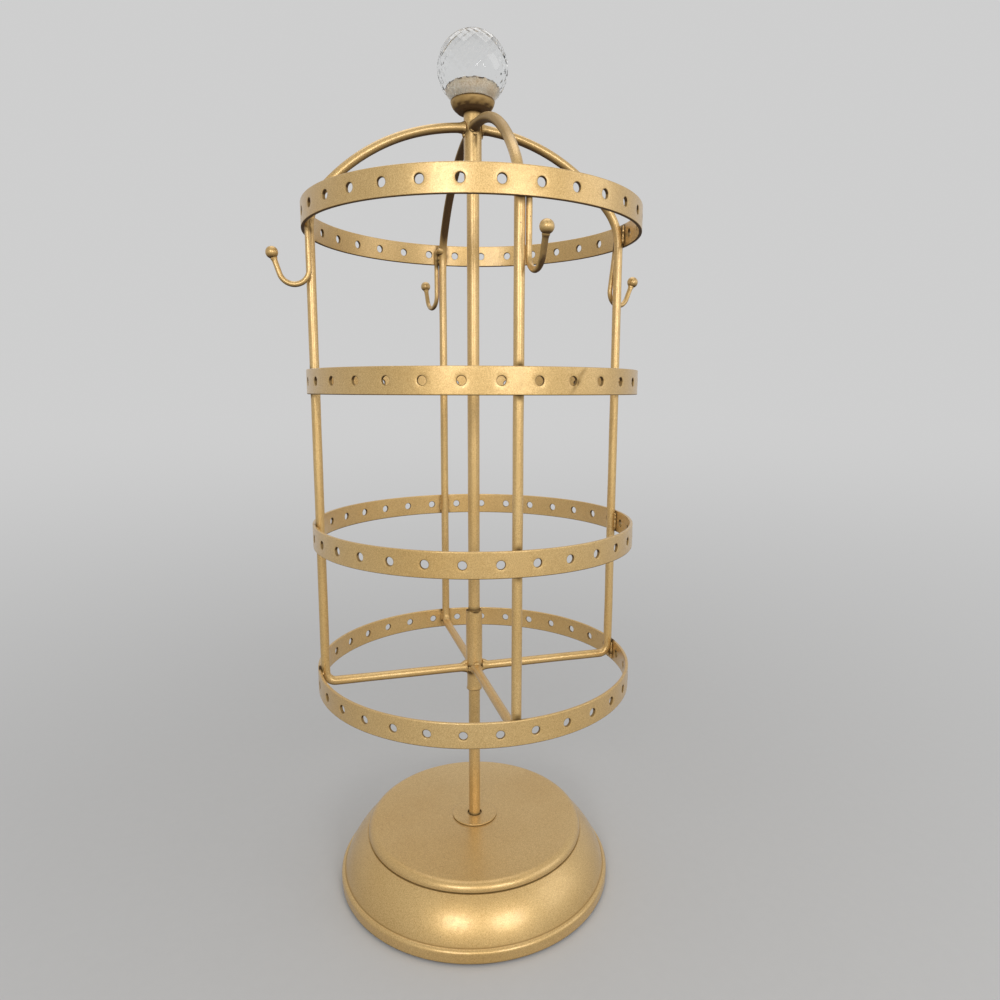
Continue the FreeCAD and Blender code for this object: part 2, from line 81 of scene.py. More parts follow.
def ripple(along, around, seed, waves=6):
    # A slow uneven wave, about -1 to 1: the sum of sines whose pitch along is random and which
    # go round in whole turns.
    rng = np.random.default_rng(seed)
    pitch = rng.uniform(0.5, 2.6, waves)
    turns = rng.integers(-3, 4, waves)
    phase = rng.uniform(0, 2 * np.pi, waves)
    angle = np.asarray(along)[..., None] * pitch + np.asarray(around)[..., None] * turns + phase
    return np.sin(angle).sum(-1) / math.sqrt(waves) / 1.3


def fullTurn(segments):
    return np.linspace(0, 2 * np.pi, segments + 1)


def travelled(path):
    # How far along the path each of its points is.
    return np.concatenate([[0], np.cumsum(np.linalg.norm(np.diff(path, axis=0), axis=1))])


def turnedGrid(profile, segments):
    # Each profile point (radius, height) becomes radius * cosine, radius * sine, height.
    turn = fullTurn(segments)
    radius, height = profile[:, 0, None], profile[:, 1, None]
    return together(radius * np.cos(turn), radius * np.sin(turn), height)


def tubeGrid(path, radius, sides):
    # A round section carried along a path in a plane. Path points are (out, up); the result is
    # (out, across, up): point + radius * (cosine * in-plane normal + sine * across).
    step = np.diff(path, axis=0)
    step = step / np.linalg.norm(step, axis=1)[:, None]
    tangent = np.concatenate([step[:1], step[:-1] + step[1:], step[-1:]])
    tangent = tangent / np.linalg.norm(tangent, axis=1)[:, None]
    turn = fullTurn(sides)
    inPlane = radius * np.cos(turn)
    return together(
        path[:, 0, None] - tangent[:, 1, None] * inPlane,
        radius * np.sin(turn),
        path[:, 1, None] + tangent[:, 0, None] * inPlane)


def closeEnds(grid):
    # A flat end is one more row that has shrunk to the middle of the last one.
    first = np.broadcast_to(grid[:1, :-1].mean(1, keepdims=True), grid[:1].shape)
    last = np.broadcast_to(grid[-1:, :-1].mean(1, keepdims=True), grid[-1:].shape)
    return np.concatenate([first, grid, last])


def roundedEnd(path, radius):
    # Goes on past the path's last point by a half ball: each row is further out and narrower.
    rise = np.linspace(0, np.pi / 2, 7)[1:]
    way = path[-1] - path[-2]
    way = way / np.linalg.norm(way)
    more = path[-1] + way * (radius * np.sin(rise))[:, None]
    return np.concatenate([path, more]), radius * np.maximum(np.cos(rise), 1e-4)


def leaned(grid, degrees):
    # (out, across, up) swung so that what is up leans outwards.
    angle = math.radians(degrees)
    return together(
        grid[..., 0] * math.cos(angle) + grid[..., 2] * math.sin(angle),
        grid[..., 1],
        -grid[..., 0] * math.sin(angle) + grid[..., 2] * math.cos(angle))


def placed(grid, azimuth, out=0.0, across=0.0):
    # From (out, across, up) to the object: moved out and across, then swung round the axis.
    angle = math.radians(azimuth)
    ahead, aside = grid[..., 0] + out, grid[..., 1] + across
    return together(
        ahead * math.cos(angle) - aside * math.sin(angle),
        ahead * math.sin(angle) + aside * math.cos(angle),
        grid[..., 2])


def addPiece(mesh, body, material, node):
    # The piece rides on its body; node is the plain solid that it replaces, if there is one.
    piece = bpy.data.objects.new(mesh.name, mesh)
    bpy.context.scene.collection.objects.link(piece)
    mesh.materials.append(material)
    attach(piece, body)
    if node:
        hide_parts(node)


def paintedPiece(name, grids, body, sootAndShade, node=None, undersideShade=1.1, finish=None):
    # Grids of points are sewn into one mesh: points that coincide become one, a cell that has
    # shrunk to a triangle is one, and all faces are turned outwards. A point attribute holds each
    # point's darkening: burnt tone together with painted shade, plus painted shade on the
    # undersides in the strength given.
    cells, start = [], 0
    for grid in grids:
        rows, columns = grid.shape[:2]
        number = start + np.arange(rows * columns).reshape(rows, columns)
        corners = (number[:-1, :-1], number[1:, :-1], number[1:, 1:], number[:-1, 1:])
        cells.append(together(*corners).reshape(-1, 4))
        start += rows * columns
    points = np.concatenate([grid.reshape(-1, 3) for grid in grids])
    cells = np.concatenate(cells)
    _, first, same = np.unique(np.round(points, 4), axis=0, return_index=True, return_inverse=True)
    points, cells = points[first], same.reshape(-1)[cells]
    doubled = cells == np.roll(cells, -1, axis=1)
    quads = cells[doubled.sum(1) == 0]
    narrow = doubled.sum(1) == 1
    triangles = cells[narrow][~doubled[narrow]].reshape(-1, 3)
    mesh = bpy.data.meshes.new(name)
    mesh.from_pydata((points / 1000).tolist(), [], quads.tolist() + triangles.tolist())
    shape = bmesh.new()
    shape.from_mesh(mesh)
    bmesh.ops.recalc_face_normals(shape, faces=shape.faces)
    shape.to_mesh(mesh)
    openEdges = sum(1 for edge in shape.edges if len(edge.link_faces) != 2)
    volume = shape.calc_volume(signed=True)
    shape.free()
    if openEdges or volume < 0:
        print("  look at", name, ": open edges", openEdges, "volume", volume)
    mesh.polygons.foreach_set("use_smooth", np.ones(len(mesh.polygons), bool))
    mesh.set_sharp_from_angle(angle=math.radians(creaseAngle))
    facing = np.empty(len(points) * 3, np.float32)
    mesh.vertex_normals.foreach_get("vector", facing)
    underside = np.clip(-facing[2::3], 0, 1) ** 1.15  # painted shade: undersides are darker, as they would be in shadow
    dark = np.maximum(sootAndShade(points), 0) + undersideShade * underside
    layer = mesh.attributes.new("sootAndShade", "FLOAT", "POINT")
    layer.data.foreach_set("value", np.clip(dark, 0, 1).astype(np.float32))
    addPiece(mesh, body, finish or goldFinish, node)


def nearness(points, spots, reach):
    # 1 at a spot and falling off over the reach, the largest over all spots.
    spots = np.array(spots, float).reshape(-1, 3)
    found = np.zeros(len(points))
    for spot in spots:
        away = ((points - spot) ** 2).sum(-1)
        found = np.maximum(found, np.exp(-away / reach ** 2))
    return found


def onAxis(azimuth, radius, height):
    # A spot at a radius and a height, on the side of the object that the azimuth gives.
    angle = math.radians(azimuth)
    return [radius * math.cos(angle), radius * math.sin(angle), height]


def band(away, reach):
    # 1 where nothing is away, falling off over the reach: e to the minus (away / reach) squared.
    return np.exp(-(away / reach) ** 2)


def darkest(*tones):
    # The largest at each point.
    return np.maximum.reduce(tones)


def polar(points):
    # Azimuth, distance from the axis, and height of every point.
    out, across, up = points.T
    return np.arctan2(across, out), np.hypot(out, across), up


def pushedOut(grid, offset):
    # Every point of a turned grid moves away from the axis by its own offset.
    turn = fullTurn(grid.shape[1] - 1)
    grid[..., 0] += offset * np.cos(turn)
    grid[..., 1] += offset * np.sin(turn)
    return grid


# Finishes.

def newFinish(name):
    # A finish without nodes, its tree, and where on the object a point is.
    finish = bpy.data.materials.new(name)
    finish.use_nodes = True
    tree = finish.node_tree
    tree.nodes.clear()
    return finish, tree, put(tree, "ShaderNodeTexCoord").outputs["Object"]


def feed(tree, socket, value):
    # A socket takes another node's output or a plain value.
    if isinstance(value, bpy.types.NodeSocket):
        tree.links.new(value, socket)
    else:
        socket.default_value = value


def put(tree, kind, **settings):
    # A node; a setting that has the name of a socket feeds that socket.
    node = tree.nodes.new(kind)
    for key, value in settings.items():
        if key in node.inputs:
            feed(tree, node.inputs[key], value)
        else:
            setattr(node, key, value)
    return node


def calculated(tree, operation, *values):
    # One step of arithmetic, such as first * second + third for MULTIPLY_ADD.
    node = put(tree, "ShaderNodeMath", operation=operation)
    for socket, value in zip(node.inputs, values):
        feed(tree, socket, value)
    return node.outputs["Value"]


def scaleRange(tree, source, low, high, fromLow=0.0, fromHigh=1.0, **settings):
    # What lies between fromLow and fromHigh is spread evenly over low to high.
    spread = put(tree, "ShaderNodeMapRange", Value=source, **settings)
    limits = {"From Min": fromLow, "From Max": fromHigh, "To Min": low, "To Max": high}
    for name, value in limits.items():
        spread.inputs[name].default_value = value
    return spread.outputs["Result"]


def blendColours(tree, factor, first, second, kind="MIX"):
    # First * (1 - factor) + second * factor, or first * second for MULTIPLY.
    mix = put(tree, "ShaderNodeMix", data_type="RGBA", blend_type=kind)
    for number, value in ((0, factor), (6, first), (7, second)):
        feed(tree, mix.inputs[number], value)
    return mix.outputs[2]


def noise(tree, place, scale, detail, roughness=0.5):
    texture = put(
        tree, "ShaderNodeTexNoise", Vector=place, Scale=scale, Detail=detail, Roughness=roughness)
    return texture.outputs["Fac"]


def bumpy(tree, height, strength, depth):
    return put(
        tree, "ShaderNodeBump", Height=height, Strength=strength, Distance=depth).outputs["Normal"]


def grey(value):
    return (value, value, value, 1)


noiseSpan = (0.3, 0.7)  # a noise is nearly always between these
goldPaint = {
    "warm": (0.63, 0.405, 0.134, 1),    # linear colours
    "pale": (0.71, 0.490, 0.198, 1),
    # the dark of burnt paint and dust specks, also the colour of painted shade
    "burntAndShaded": (0.042, 0.017, 0.004, 1),
    "metallic": 0.62,
    "roughness": (0.36, 0.46),
    "edgeTint": (0.90, 0.80, 0.66, 1),  # gloss at grazing angles
    "lacquer": 1.0,                     # clear coat over the flakes
    "lacquerRoughness": 0.27,
    "flakeScale": 2300.0,               # per metre, as the other three scales
    # the darkest and the brightest flakes
    "grain": {"Red": (0.76, 1.18), "Green": (0.68, 1.23), "Blue": (0.54, 1.36)},
    "peelScale": 520.0,
    "cloudScale": 16.0,
    "speckScale": 260.0,
    "bumpDepth": 0.00006,               # metres
}
# painted image of the gold cup seen through the crystal: pale tan tones, made bright enough to stand
# in for the light that the glass keeps from the plug
tanRefraction = dict(
    goldPaint, warm=(0.92, 0.72, 0.46, 1), pale=(1.0, 0.95, 0.82, 1), metallic=0.0, lacquer=0.0,
    cloudScale=140.0, edgeTint=(1, 1, 1, 1))


def makeGoldPaint(name, look):
    # Sprayed metallic paint: a flake grain, slow clouds of tone, orange peel, tiny dark specks
    # of dust, and burnt tone together with painted shade where the darkening attribute is high.
    finish, tree, place = newFinish(name)
    flake = noise(tree, place, look["flakeScale"], 2.0, 0.7)
    cloud = noise(tree, place, look["cloudScale"], 4.0)
    peel = noise(tree, place, look["peelScale"], 2.0)
    tone = scaleRange(tree, cloud, 0, 1, *noiseSpan)
    colour = blendColours(tree, tone, look["warm"], look["pale"])
    grain = put(tree, "ShaderNodeCombineColor", **{
        part: scaleRange(tree, flake, *spread, *noiseSpan)
        for part, spread in look["grain"].items()})
    colour = blendColours(tree, 1.0, colour, grain.outputs["Color"], "MULTIPLY")

    # A speck is the middle of a cell, and only few cells have one.
    speck = put(tree, "ShaderNodeTexVoronoi", Vector=place, Scale=look["speckScale"])
    near = scaleRange(tree, speck.outputs["Distance"], 1, 0, 0.03, 0.09)
    pick = put(tree, "ShaderNodeSeparateColor", Color=speck.outputs["Color"])
    few = scaleRange(tree, pick.outputs["Red"], 0, 1, 0.93, 0.95)
    colour = blendColours(tree, calculated(tree, "MULTIPLY", near, few), colour, look["burntAndShaded"])

    # Burnt paint and painted shade: there the paint is dark and rough, and neither metal nor
    # lacquer shows in it.
    sootAndShade = put(tree, "ShaderNodeAttribute", attribute_name="sootAndShade").outputs["Fac"]
    patchy = calculated(tree, "MULTIPLY_ADD", flake, 0.5, sootAndShade)
    burnAndShade = scaleRange(tree, patchy, 0, 0.96, 0.34, 1.15)
    gloss = scaleRange(tree, peel, *look["roughness"], *noiseSpan)
    height = calculated(tree, "MULTIPLY_ADD", flake, 0.35, peel)
    shader = put(tree, "ShaderNodeBsdfPrincipled", **{
        "Base Color": blendColours(tree, burnAndShade, colour, look["burntAndShaded"]),
        "Metallic": scaleRange(tree, burnAndShade, look["metallic"], 0.1 * look["metallic"]),
        "Roughness": calculated(tree, "MULTIPLY_ADD", burnAndShade, 0.4, gloss),
        "Normal": bumpy(tree, height, 0.55, look["bumpDepth"]),
        "Specular Tint": look["edgeTint"],
        "Coat Weight": scaleRange(tree, burnAndShade, look["lacquer"], 0.0, 0.0, 0.5),
        "Coat Roughness": look["lacquerRoughness"],
    })
    put(tree, "ShaderNodeOutputMaterial", Surface=shader.outputs["BSDF"])
    return finish


def makeCrystalGlass(name):
    # Clear cut glass with a breath of dust on it.
    finish, tree, place = newFinish(name)
    dust = noise(tree, place, 700.0, 3.0)
    polish = noise(tree, place, 160.0, 2.0)
    shader = put(tree, "ShaderNodeBsdfPrincipled", IOR=1.58, **{
        "Transmission Weight": 1.0,
        "Base Color": blendColours(tree, dust, (0.93, 0.95, 0.95, 1), (1, 1, 1, 1)),
        "Roughness": scaleRange(tree, dust, 0.0, 0.05, 0.5, 0.75),
        "Normal": bumpy(tree, polish, 0.1, 0.00002),
    })
    put(tree, "ShaderNodeOutputMaterial", Surface=shader.outputs["BSDF"])
    return finish


hiddenFinishes = {  # two tones, how metallic, roughness, noise scale per metre, bump in metres
    "zincPlatedSteel": {
        "tones": ((0.42, 0.43, 0.42, 1), (0.62, 0.62, 0.58, 1)), "metallic": 0.95,
        "roughness": (0.25, 0.42), "scale": 300.0, "bumpDepth": 0.00003, "stretch": (1, 1, 8),
        "nodes": ("base_bottom_plate", "nut_washer", "rod_nut", "sleeve_plug", "finial_stud"),
    },
    "castIron": {
        "tones": ((0.045, 0.043, 0.042, 1), (0.12, 0.11, 0.10, 1)), "metallic": 0.55,
        "roughness": (0.55, 0.8), "scale": 240.0, "bumpDepth": 0.00025, "stretch": (1, 1, 1),
        "nodes": ("base_weight",),
    },
    "foamRubber": {
        "tones": ((0.012, 0.012, 0.013, 1), (0.045, 0.045, 0.047, 1)), "metallic": 0.0,
        "roughness": (0.8, 0.95), "scale": 900.0, "bumpDepth": 0.0002, "stretch": (1, 1, 1),
        "nodes": ("base_pad",),
    },
}


def makePlainFinish(name, look):
    # For the pieces inside: two tones on a noise, uneven gloss and a fine bump.
    finish, tree, place = newFinish(name)
    spread = put(tree, "ShaderNodeMapping", Vector=place, Scale=look["stretch"]).outputs["Vector"]
    grain = noise(tree, spread, look["scale"], 4.0, 0.65)
    cell = put(tree, "ShaderNodeTexVoronoi", Vector=spread, Scale=look["scale"] * 0.4)
    height = calculated(tree, "MULTIPLY_ADD", cell.outputs["Distance"], 0.6, grain)
    shader = put(tree, "ShaderNodeBsdfPrincipled", Metallic=look["metallic"], **{
        "Base Color": blendColours(tree, scaleRange(tree, grain, 0, 1, *noiseSpan), *look["tones"]),
        "Roughness": scaleRange(tree, grain, *look["roughness"], *noiseSpan),
        "Normal": bumpy(tree, height, 0.6, look["bumpDepth"]),
    })
    put(tree, "ShaderNodeOutputMaterial", Surface=shader.outputs["BSDF"])
    return finish


goldFinish = makeGoldPaint("champagneGoldPaint", goldPaint)
refractionFinish = makeGoldPaint("tanRefraction", tanRefraction)
crystalFinish = makeCrystalGlass("cutCrystal")
for name, look in hiddenFinishes.items():
    finish = makePlainFinish(name, look)
    for node in look["nodes"]:
        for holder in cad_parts[node].material_slots:
            holder.material = finish
print("finishes made")


# Rings.

punchedRing = {
    "outerRadius": 80.0, "thickness": 1.5, "height": 11.4,
    "holes": 32, "holeRadius": 1.85, "holeRim": 0.3, "dish": 0.1, "dishBreadth": 0.7,
    "edgeRound": 0.42, "outOfRound": 0.16, "outOfLevel": 0.14,
    "seamStep": 0.13, "seamBreadth": 0.9,
}
# Azimuths where a strip's ends meet.
ringSeams = {"top": 78.0, "upper": 112.0, "lower": 65.0, "bottom": 121.0}
ringRub = {
    "azimuth": -71.4, "height": 5.6, "lean": 56.0, "length": 8.0, "breadth": 1.2, "strength": 0.56,
}


def ringGrids(look, lowerEdge, seed, seam):
    # The strip is worked out flat, as (along, up, depth), then bent: radius = outer radius - depth,
    # azimuth = along / outer radius. One stretch round a hole runs from its border over the rim,
    # through the hole and out to the border on the inside; two more runs round off the edges.
    outer, thickness, edge = look["outerRadius"], look["thickness"], look["edgeRound"]
    halfHeight = look["height"] / 2
    border = halfHeight - edge
    halfStretch = math.pi * outer / look["holes"]
    upright = np.linspace(-border, border, 7)
    level = np.linspace(halfStretch, -halfStretch, 11)
    rimPath = np.concatenate([
        together(halfStretch, upright[:-1]), together(level[:-1], border),
        together(-halfStretch, upright[:0:-1]), together(level[::-1], -border)])
    heading = rimPath / np.linalg.norm(rimPath, axis=1)[:, None]
    quarter = np.radians(np.linspace(0, 90, 5))
    rim, rounded = look["holeRadius"], look["holeRim"]
    share = np.array([0, 0.03, 0.3, 0.6, 0.82, 0.95, 1])[:, None, None]
    face = rimPath * (1 - share) + heading * (rim + rounded) * share
    inward, deeper = rounded * (1 - np.sin(quarter[1:])), rounded * (1 - np.cos(quarter[1:]))
    reach = rim + np.concatenate([inward, inward[::-1]])
    flat = np.concatenate([face, heading * reach[:, None, None], face[::-1]])
    rows = len(share)
    depth = np.concatenate([[0] * rows, deeper, thickness - deeper[::-1], [thickness] * rows])[:, None]
    away = np.linalg.norm(flat, axis=-1) - rim
    depth = depth + look["dish"] * band(away, look["dishBreadth"]) * (depth < thickness / 2)
    stretch = together(flat[..., 0], flat[..., 1], depth)

    outward, deeper = border + edge * np.sin(quarter), edge * (1 - np.cos(quarter))
    up = np.concatenate([outward, outward[::-1]])[:, None]
    upperEdge = together(level, up, np.concatenate([deeper, thickness - deeper[::-1]])[:, None])

    pitch = 2 * np.pi / look["holes"]
    bent = []
    for number in range(look["holes"]):
        for part in (stretch, upperEdge, upperEdge * np.array([1, -1, 1])):
            azimuth = math.radians(-90) + pitch / 2 + number * pitch + part[..., 0] / outer
            radius = outer - part[..., 2]
            radius = radius + look["outOfRound"] * np.sin(2 * azimuth + seed) * 0.6
            radius = radius + look["outOfRound"] * np.sin(5 * azimuth + 2 * seed) * 0.25
            fromSeam = (azimuth - math.radians(seam) + np.pi) % (2 * np.pi) - np.pi
            side = np.where(part[..., 2] < thickness / 2, 1, -1)
            radius = radius + look["seamStep"] * side * band(fromSeam * outer, look["seamBreadth"])
            height = lowerEdge + halfHeight + part[..., 1]
            height = height + look["outOfLevel"] * np.sin(2 * azimuth + 1.7 * seed) * 0.7
            height = height + look["outOfLevel"] * np.sin(3 * azimuth + seed) * 0.3
            bent.append(together(radius * np.cos(azimuth), radius * np.sin(azimuth), height))
    return bent


def ringMarksAndShade(lowerEdge, look, rub):
    # Burnt tone round the welds at the wires, with painted shade where wire and ring meet inside;
    # painted shade in the holes, darker round their lips, and along the lower edge; and the scuff
    # if there is one.
    outer, hole = look["outerRadius"], look["holeRadius"]
    middle = lowerEdge + look["height"] / 2

    def sootAndShade(points):
        azimuth, radius, height = polar(points)
        pitch = 2 * np.pi / look["holes"]
        fromHole = ((azimuth + np.pi / 2) % pitch - pitch / 2) * outer
        away = np.hypot(fromHole, height - middle)
        inside = radius < outer - 0.45
        # darker round the holes' lips, and painted shade inside the holes
        lip = 0.45 * band(away - hole, 0.35)
        wall = 0.6 * (away < hole + 0.12)
        fromWire = ((azimuth + np.pi / 4) % (np.pi / 2) - np.pi / 4) * outer
        # burnt weld tone, with painted shade where the wire meets the ring's inside
        weld = np.where(inside, 0.95, 0.10) * band(fromWire, np.where(inside, 3.0, 2.0))
        weld = weld * (0.75 + 0.6 * ripple(height * 0.6, azimuth * 8, 4))
        # painted shade along the lower edge, as if it lay in shadow
        underEdgeShade = 0.85 * band(height - lowerEdge, 0.26)
        dark = darkest(lip * 0.7, wall, weld, underEdgeShade)
        if rub:
            along = (azimuth - math.radians(rub["azimuth"])) * outer
            up = height - lowerEdge - rub["height"]
            lean = math.radians(rub["lean"])
            length = along * math.cos(lean) + up * math.sin(lean)
            breadth = -along * math.sin(lean) + up * math.cos(lean)
            scuff = band(length, rub["length"]) * band(breadth, rub["breadth"])
            scuff = scuff * (0.8 + 0.5 * ripple(length * 0.7, breadth * 2.1, 8))
            dark = darkest(dark, rub["strength"] * scuff * (radius > outer - 0.5))
        return dark
    return sootAndShade


for number, (level, lowerEdge) in enumerate(ringLowerEdges.items()):
    grids = ringGrids(punchedRing, lowerEdge, 1.0 + 1.3 * number, ringSeams[level])
    sootAndShade = ringMarksAndShade(lowerEdge, punchedRing, ringRub if level == "upper" else None)
    paintedPiece("punched_ring_" + level, grids, "cage", sootAndShade, "ring_" + level)
print("rings made")


# Bent wires.

bentWire = {
    "radius": 2.2, "sides": 28, "step": 1.6,
    "spokeHeight": 114.5, "spokeBend": 5.0, "uprightRadius": 76.25,
    "shoulderBend": 26.0, "archRadius": 92.0, "archCentreHeight": 288.6,
    "tubeRadius": 4.0,           # where a wire ends inside the tubes' walls
    "flare": 0.75, "flareReach": 1.5,   # weld and paint that thicken a wire's ends
    "paintWave": 0.035,
}


def wirePath(look):
    # Spoke outwards, tight bend, upright stretch, shoulder bend, and the arch up to the tube.
    out, step = look["uprightRadius"], look["step"]
    bend, low = look["spokeBend"], look["spokeHeight"]
    shoulderOut = out - look["shoulderBend"]
    shoulderRise = math.sqrt((look["archRadius"] - look["shoulderBend"]) ** 2 - shoulderOut ** 2)
    shoulder = (shoulderOut, look["archCentreHeight"] + shoulderRise)
    lean = math.degrees(math.atan2(shoulderRise, shoulderOut))
    crown = math.degrees(math.acos(look["tubeRadius"] / look["archRadius"]))
    return chain(
        straightRun((look["tubeRadius"], low), (out - bend, low), step, 0.4),
        arcRun((out - bend, low + bend), bend, -90, 0, step / 2),
        straightRun((out, low + bend), (out, shoulder[1]), step, 0.4),
        arcRun(shoulder, look["shoulderBend"], 0, lean, step),
        arcRun((0, look["archCentreHeight"]), look["archRadius"], lean, crown, step),
    )


def wireGrid(look, seed):
    # The radius is the wire's, plus a slight wave of the paint, plus a lumpy flare at the ends.
    path = wirePath(look)
    travel, turn = travelled(path), fullTurn(look["sides"])
    fromEnd = np.minimum(travel, travel[-1] - travel)[:, None]
    wave = ripple(travel[:, None] * 0.09, turn, seed)
    lump = ripple(travel[:, None] * 1.1, turn, seed + 9)
    flare = look["flare"] * np.exp(-(fromEnd / look["flareReach"]) ** 1.4)
    radius = look["radius"] + look["paintWave"] * wave + flare * (1 + 0.35 * lump)
    return closeEnds(tubeGrid(path, radius, look["sides"]))


# How much painted shade darkens an arch's upper stretch, and the height from which on it does.
archShades = {"front": (0.42, 349), "right": (0, 349), "back": (0.48, 337), "left": (0, 349)}


def wireBurnsAndShade(side):
    # Burnt tone where the wire meets the rings, most of it on their side, the tubes and its hook,
    # with painted shade in those joints; and painted shade on the arch's upper stretch.
    azimuth, (archShade, shadeFrom) = wireAzimuths[side], archShades[side]
    ringSpots = [
        onAxis(azimuth, 78.6, edge + up)
        for edge in ringLowerEdges.values() for up in (0, 3, 6, 9, 11.4)]
    endSpots = [onAxis(azimuth, 4.9, 112.3), onAxis(azimuth, 4.6, 377.9)]
    aside = 1.9 * np.array(onAxis(azimuth + 90, 1, 0))
    hookSpots = [aside + onAxis(azimuth, 76.4, up) for up in (330.2, 334.6)]

    def sootAndShade(points):
        rings = 0.85 * nearness(points, ringSpots, 1.9)
        ends = 0.95 * nearness(points, endSpots, 1.7)
        # painted shade: the arch darker towards its top, standing in for its shaded brown look
        arch = archShade * np.clip((points[:, 2] - shadeFrom) / 11, 0, 1)
        return darkest(rings, ends, nearness(points, hookSpots, 1.3), arch)
    return sootAndShade


for number, (side, azimuth) in enumerate(wireAzimuths.items()):
    wire = placed(wireGrid(bentWire, 20 + number), azimuth)
    paintedPiece("bent_wire_" + side, [wire], "cage", wireBurnsAndShade(side), "upright_" + side)
print("wires made")


# Necklace hooks.

necklaceHook = {
    "radius": 1.25, "sides": 20, "step": 0.7,
    "topHeight": 339.0, "bend": 6.7, "lean": 18.0, "leg": 9.5,
    "out": 77.12, "across": 3.50,
    "ballRadius": 2.8, "neck": 0.35,   # paint that has gathered under the ball
}
# The height of the middle line's lowest point; degrees about the shank; degrees towards the post,
# about the hook's top; and how much painted shade darkens the leg.
hookBottoms = {"front": 304.0, "right": 303.6, "back": 307.0, "left": 306.0}
hookTurns = {"front": 6.0, "right": 22.0, "back": 14.0, "left": -7.0}
hookTilts = {"front": 0.0, "right": 6.5, "back": 0.0, "left": 0.0}
hookLegShades = {"front": 0.45, "right": 0.0, "back": 0.2, "left": 0.0}


def hookGrids(look, side, seed):
    # A straight shank going down, the throat's arc, and the leg that leans out to the ball.
    bend, leg, step, lean = look["bend"], look["leg"], look["step"], math.radians(look["lean"])
    centre = (bend, hookBottoms[side] + bend)
    throatEnd = (centre[0] + bend * math.cos(lean), centre[1] - bend * math.sin(lean))
    ball = (throatEnd[0] + leg * math.sin(lean), throatEnd[1] + leg * math.cos(lean))
    path = chain(
        straightRun((0, look["topHeight"] - look["radius"]), (0, centre[1]), step * 1.6, 0.3),
        arcRun(centre, bend, 180, 360 - look["lean"], step),
        straightRun(throatEnd, ball, step, 0.3),
    )[::-1]
    path, tip = roundedEnd(path, look["radius"])
    travel, turn = travelled(path), fullTurn(look["sides"])
    radius = np.full(len(path), look["radius"])
    radius[-len(tip):] = tip
    wave = ripple(travel[:, None] * 0.16, turn, seed)
    neck = look["neck"] * band(travel - look["ballRadius"], 0.5)
    radius = (radius[:, None] + neck[:, None]) * (1 + 0.02 * wave)
    hook = closeEnds(tubeGrid(path, radius, look["sides"]))

    # the ball: a turned bead, flattened a little where the wire goes in
    size = look["ballRadius"]
    fromTop = np.linspace(0, np.pi, 25)
    flattened = 1 - 0.03 * np.cos(fromTop / 2) ** 4
    outline = together(size * np.sin(fromTop), size * np.cos(fromTop) * flattened)
    bead = leaned(turnedGrid(outline, 32), look["lean"]) + [ball[0], 0, ball[1]]
    return [atHook(grid, look, side) for grid in (hook, bead)]


def atHook(grid, look, side):
    # Turned about the shank, tilted about the hook's top, then set beside its wire.
    top = np.array([0, 0, look["topHeight"]])
    hung = leaned(placed(grid, hookTurns[side]) - top, hookTilts[side]) + top
    return placed(hung, wireAzimuths[side], look["out"], look["across"])


def hookBurnsAndShades(look, side, bead):
    # Burnt tone and painted shade at the weld, painted shade under the bead and along the leg;
    # then the bead's own painted shade under it.
    middle, lean = bead.reshape(-1, 3).mean(0), math.radians(look["lean"])
    weldSpots = atHook(np.array([[-0.6, -0.6, up] for up in (330.4, 333.0, 336.5)]), look, side)
    neckSpot = [middle * [1, 1, 0] + [0, 0, bead[..., 2].min()]]
    foot, head = atHook(np.array([[0, 0, 0], [math.sin(lean), 0, math.cos(lean)]]), look, side)
    legSpots = middle - np.outer(np.arange(3, 13), head - foot)

    def hookBurnAndShade(points):
        # burnt tone with painted shade at the weld, painted shade under the bead
        weld, neck = 1.1 * nearness(points, weldSpots, 1.9), 0.7 * nearness(points, neckSpot, 0.9)
        # painted shade along the leg
        leg = hookLegShades[side] * np.minimum(1.6 * nearness(points, legSpots, 2.0), 1)
        return darkest(weld, neck, leg)

    def beadUnderShade(points):
        # painted shade under the bead
        return 0.7 * nearness(points, neckSpot, 1.2)
    return hookBurnAndShade, beadUnderShade


for number, side in enumerate(wireAzimuths):
    hook, bead = hookGrids(necklaceHook, side, 40 + number)
    hookBurnAndShade, beadUnderShade = hookBurnsAndShades(necklaceHook, side, bead)
    paintedPiece("necklace_hook_" + side, [hook], "cage", hookBurnAndShade, "hook_" + side)
    paintedPiece("hook_bead_" + side, [bead], "cage", beadUnderShade, "hook_ball_" + side)
print("hooks made")


# Turning tubes.

turningTube = {
    "radius": 4.25, "bore": 3.08, "segments": 64, "step": 1.2,
    "lower": (102.1, 145.3), "upper": (356.3, 387.3),
    "lip": 0.40, "waist": 0.50, "waistTop": 111.5,   # of the lower tube's end
}


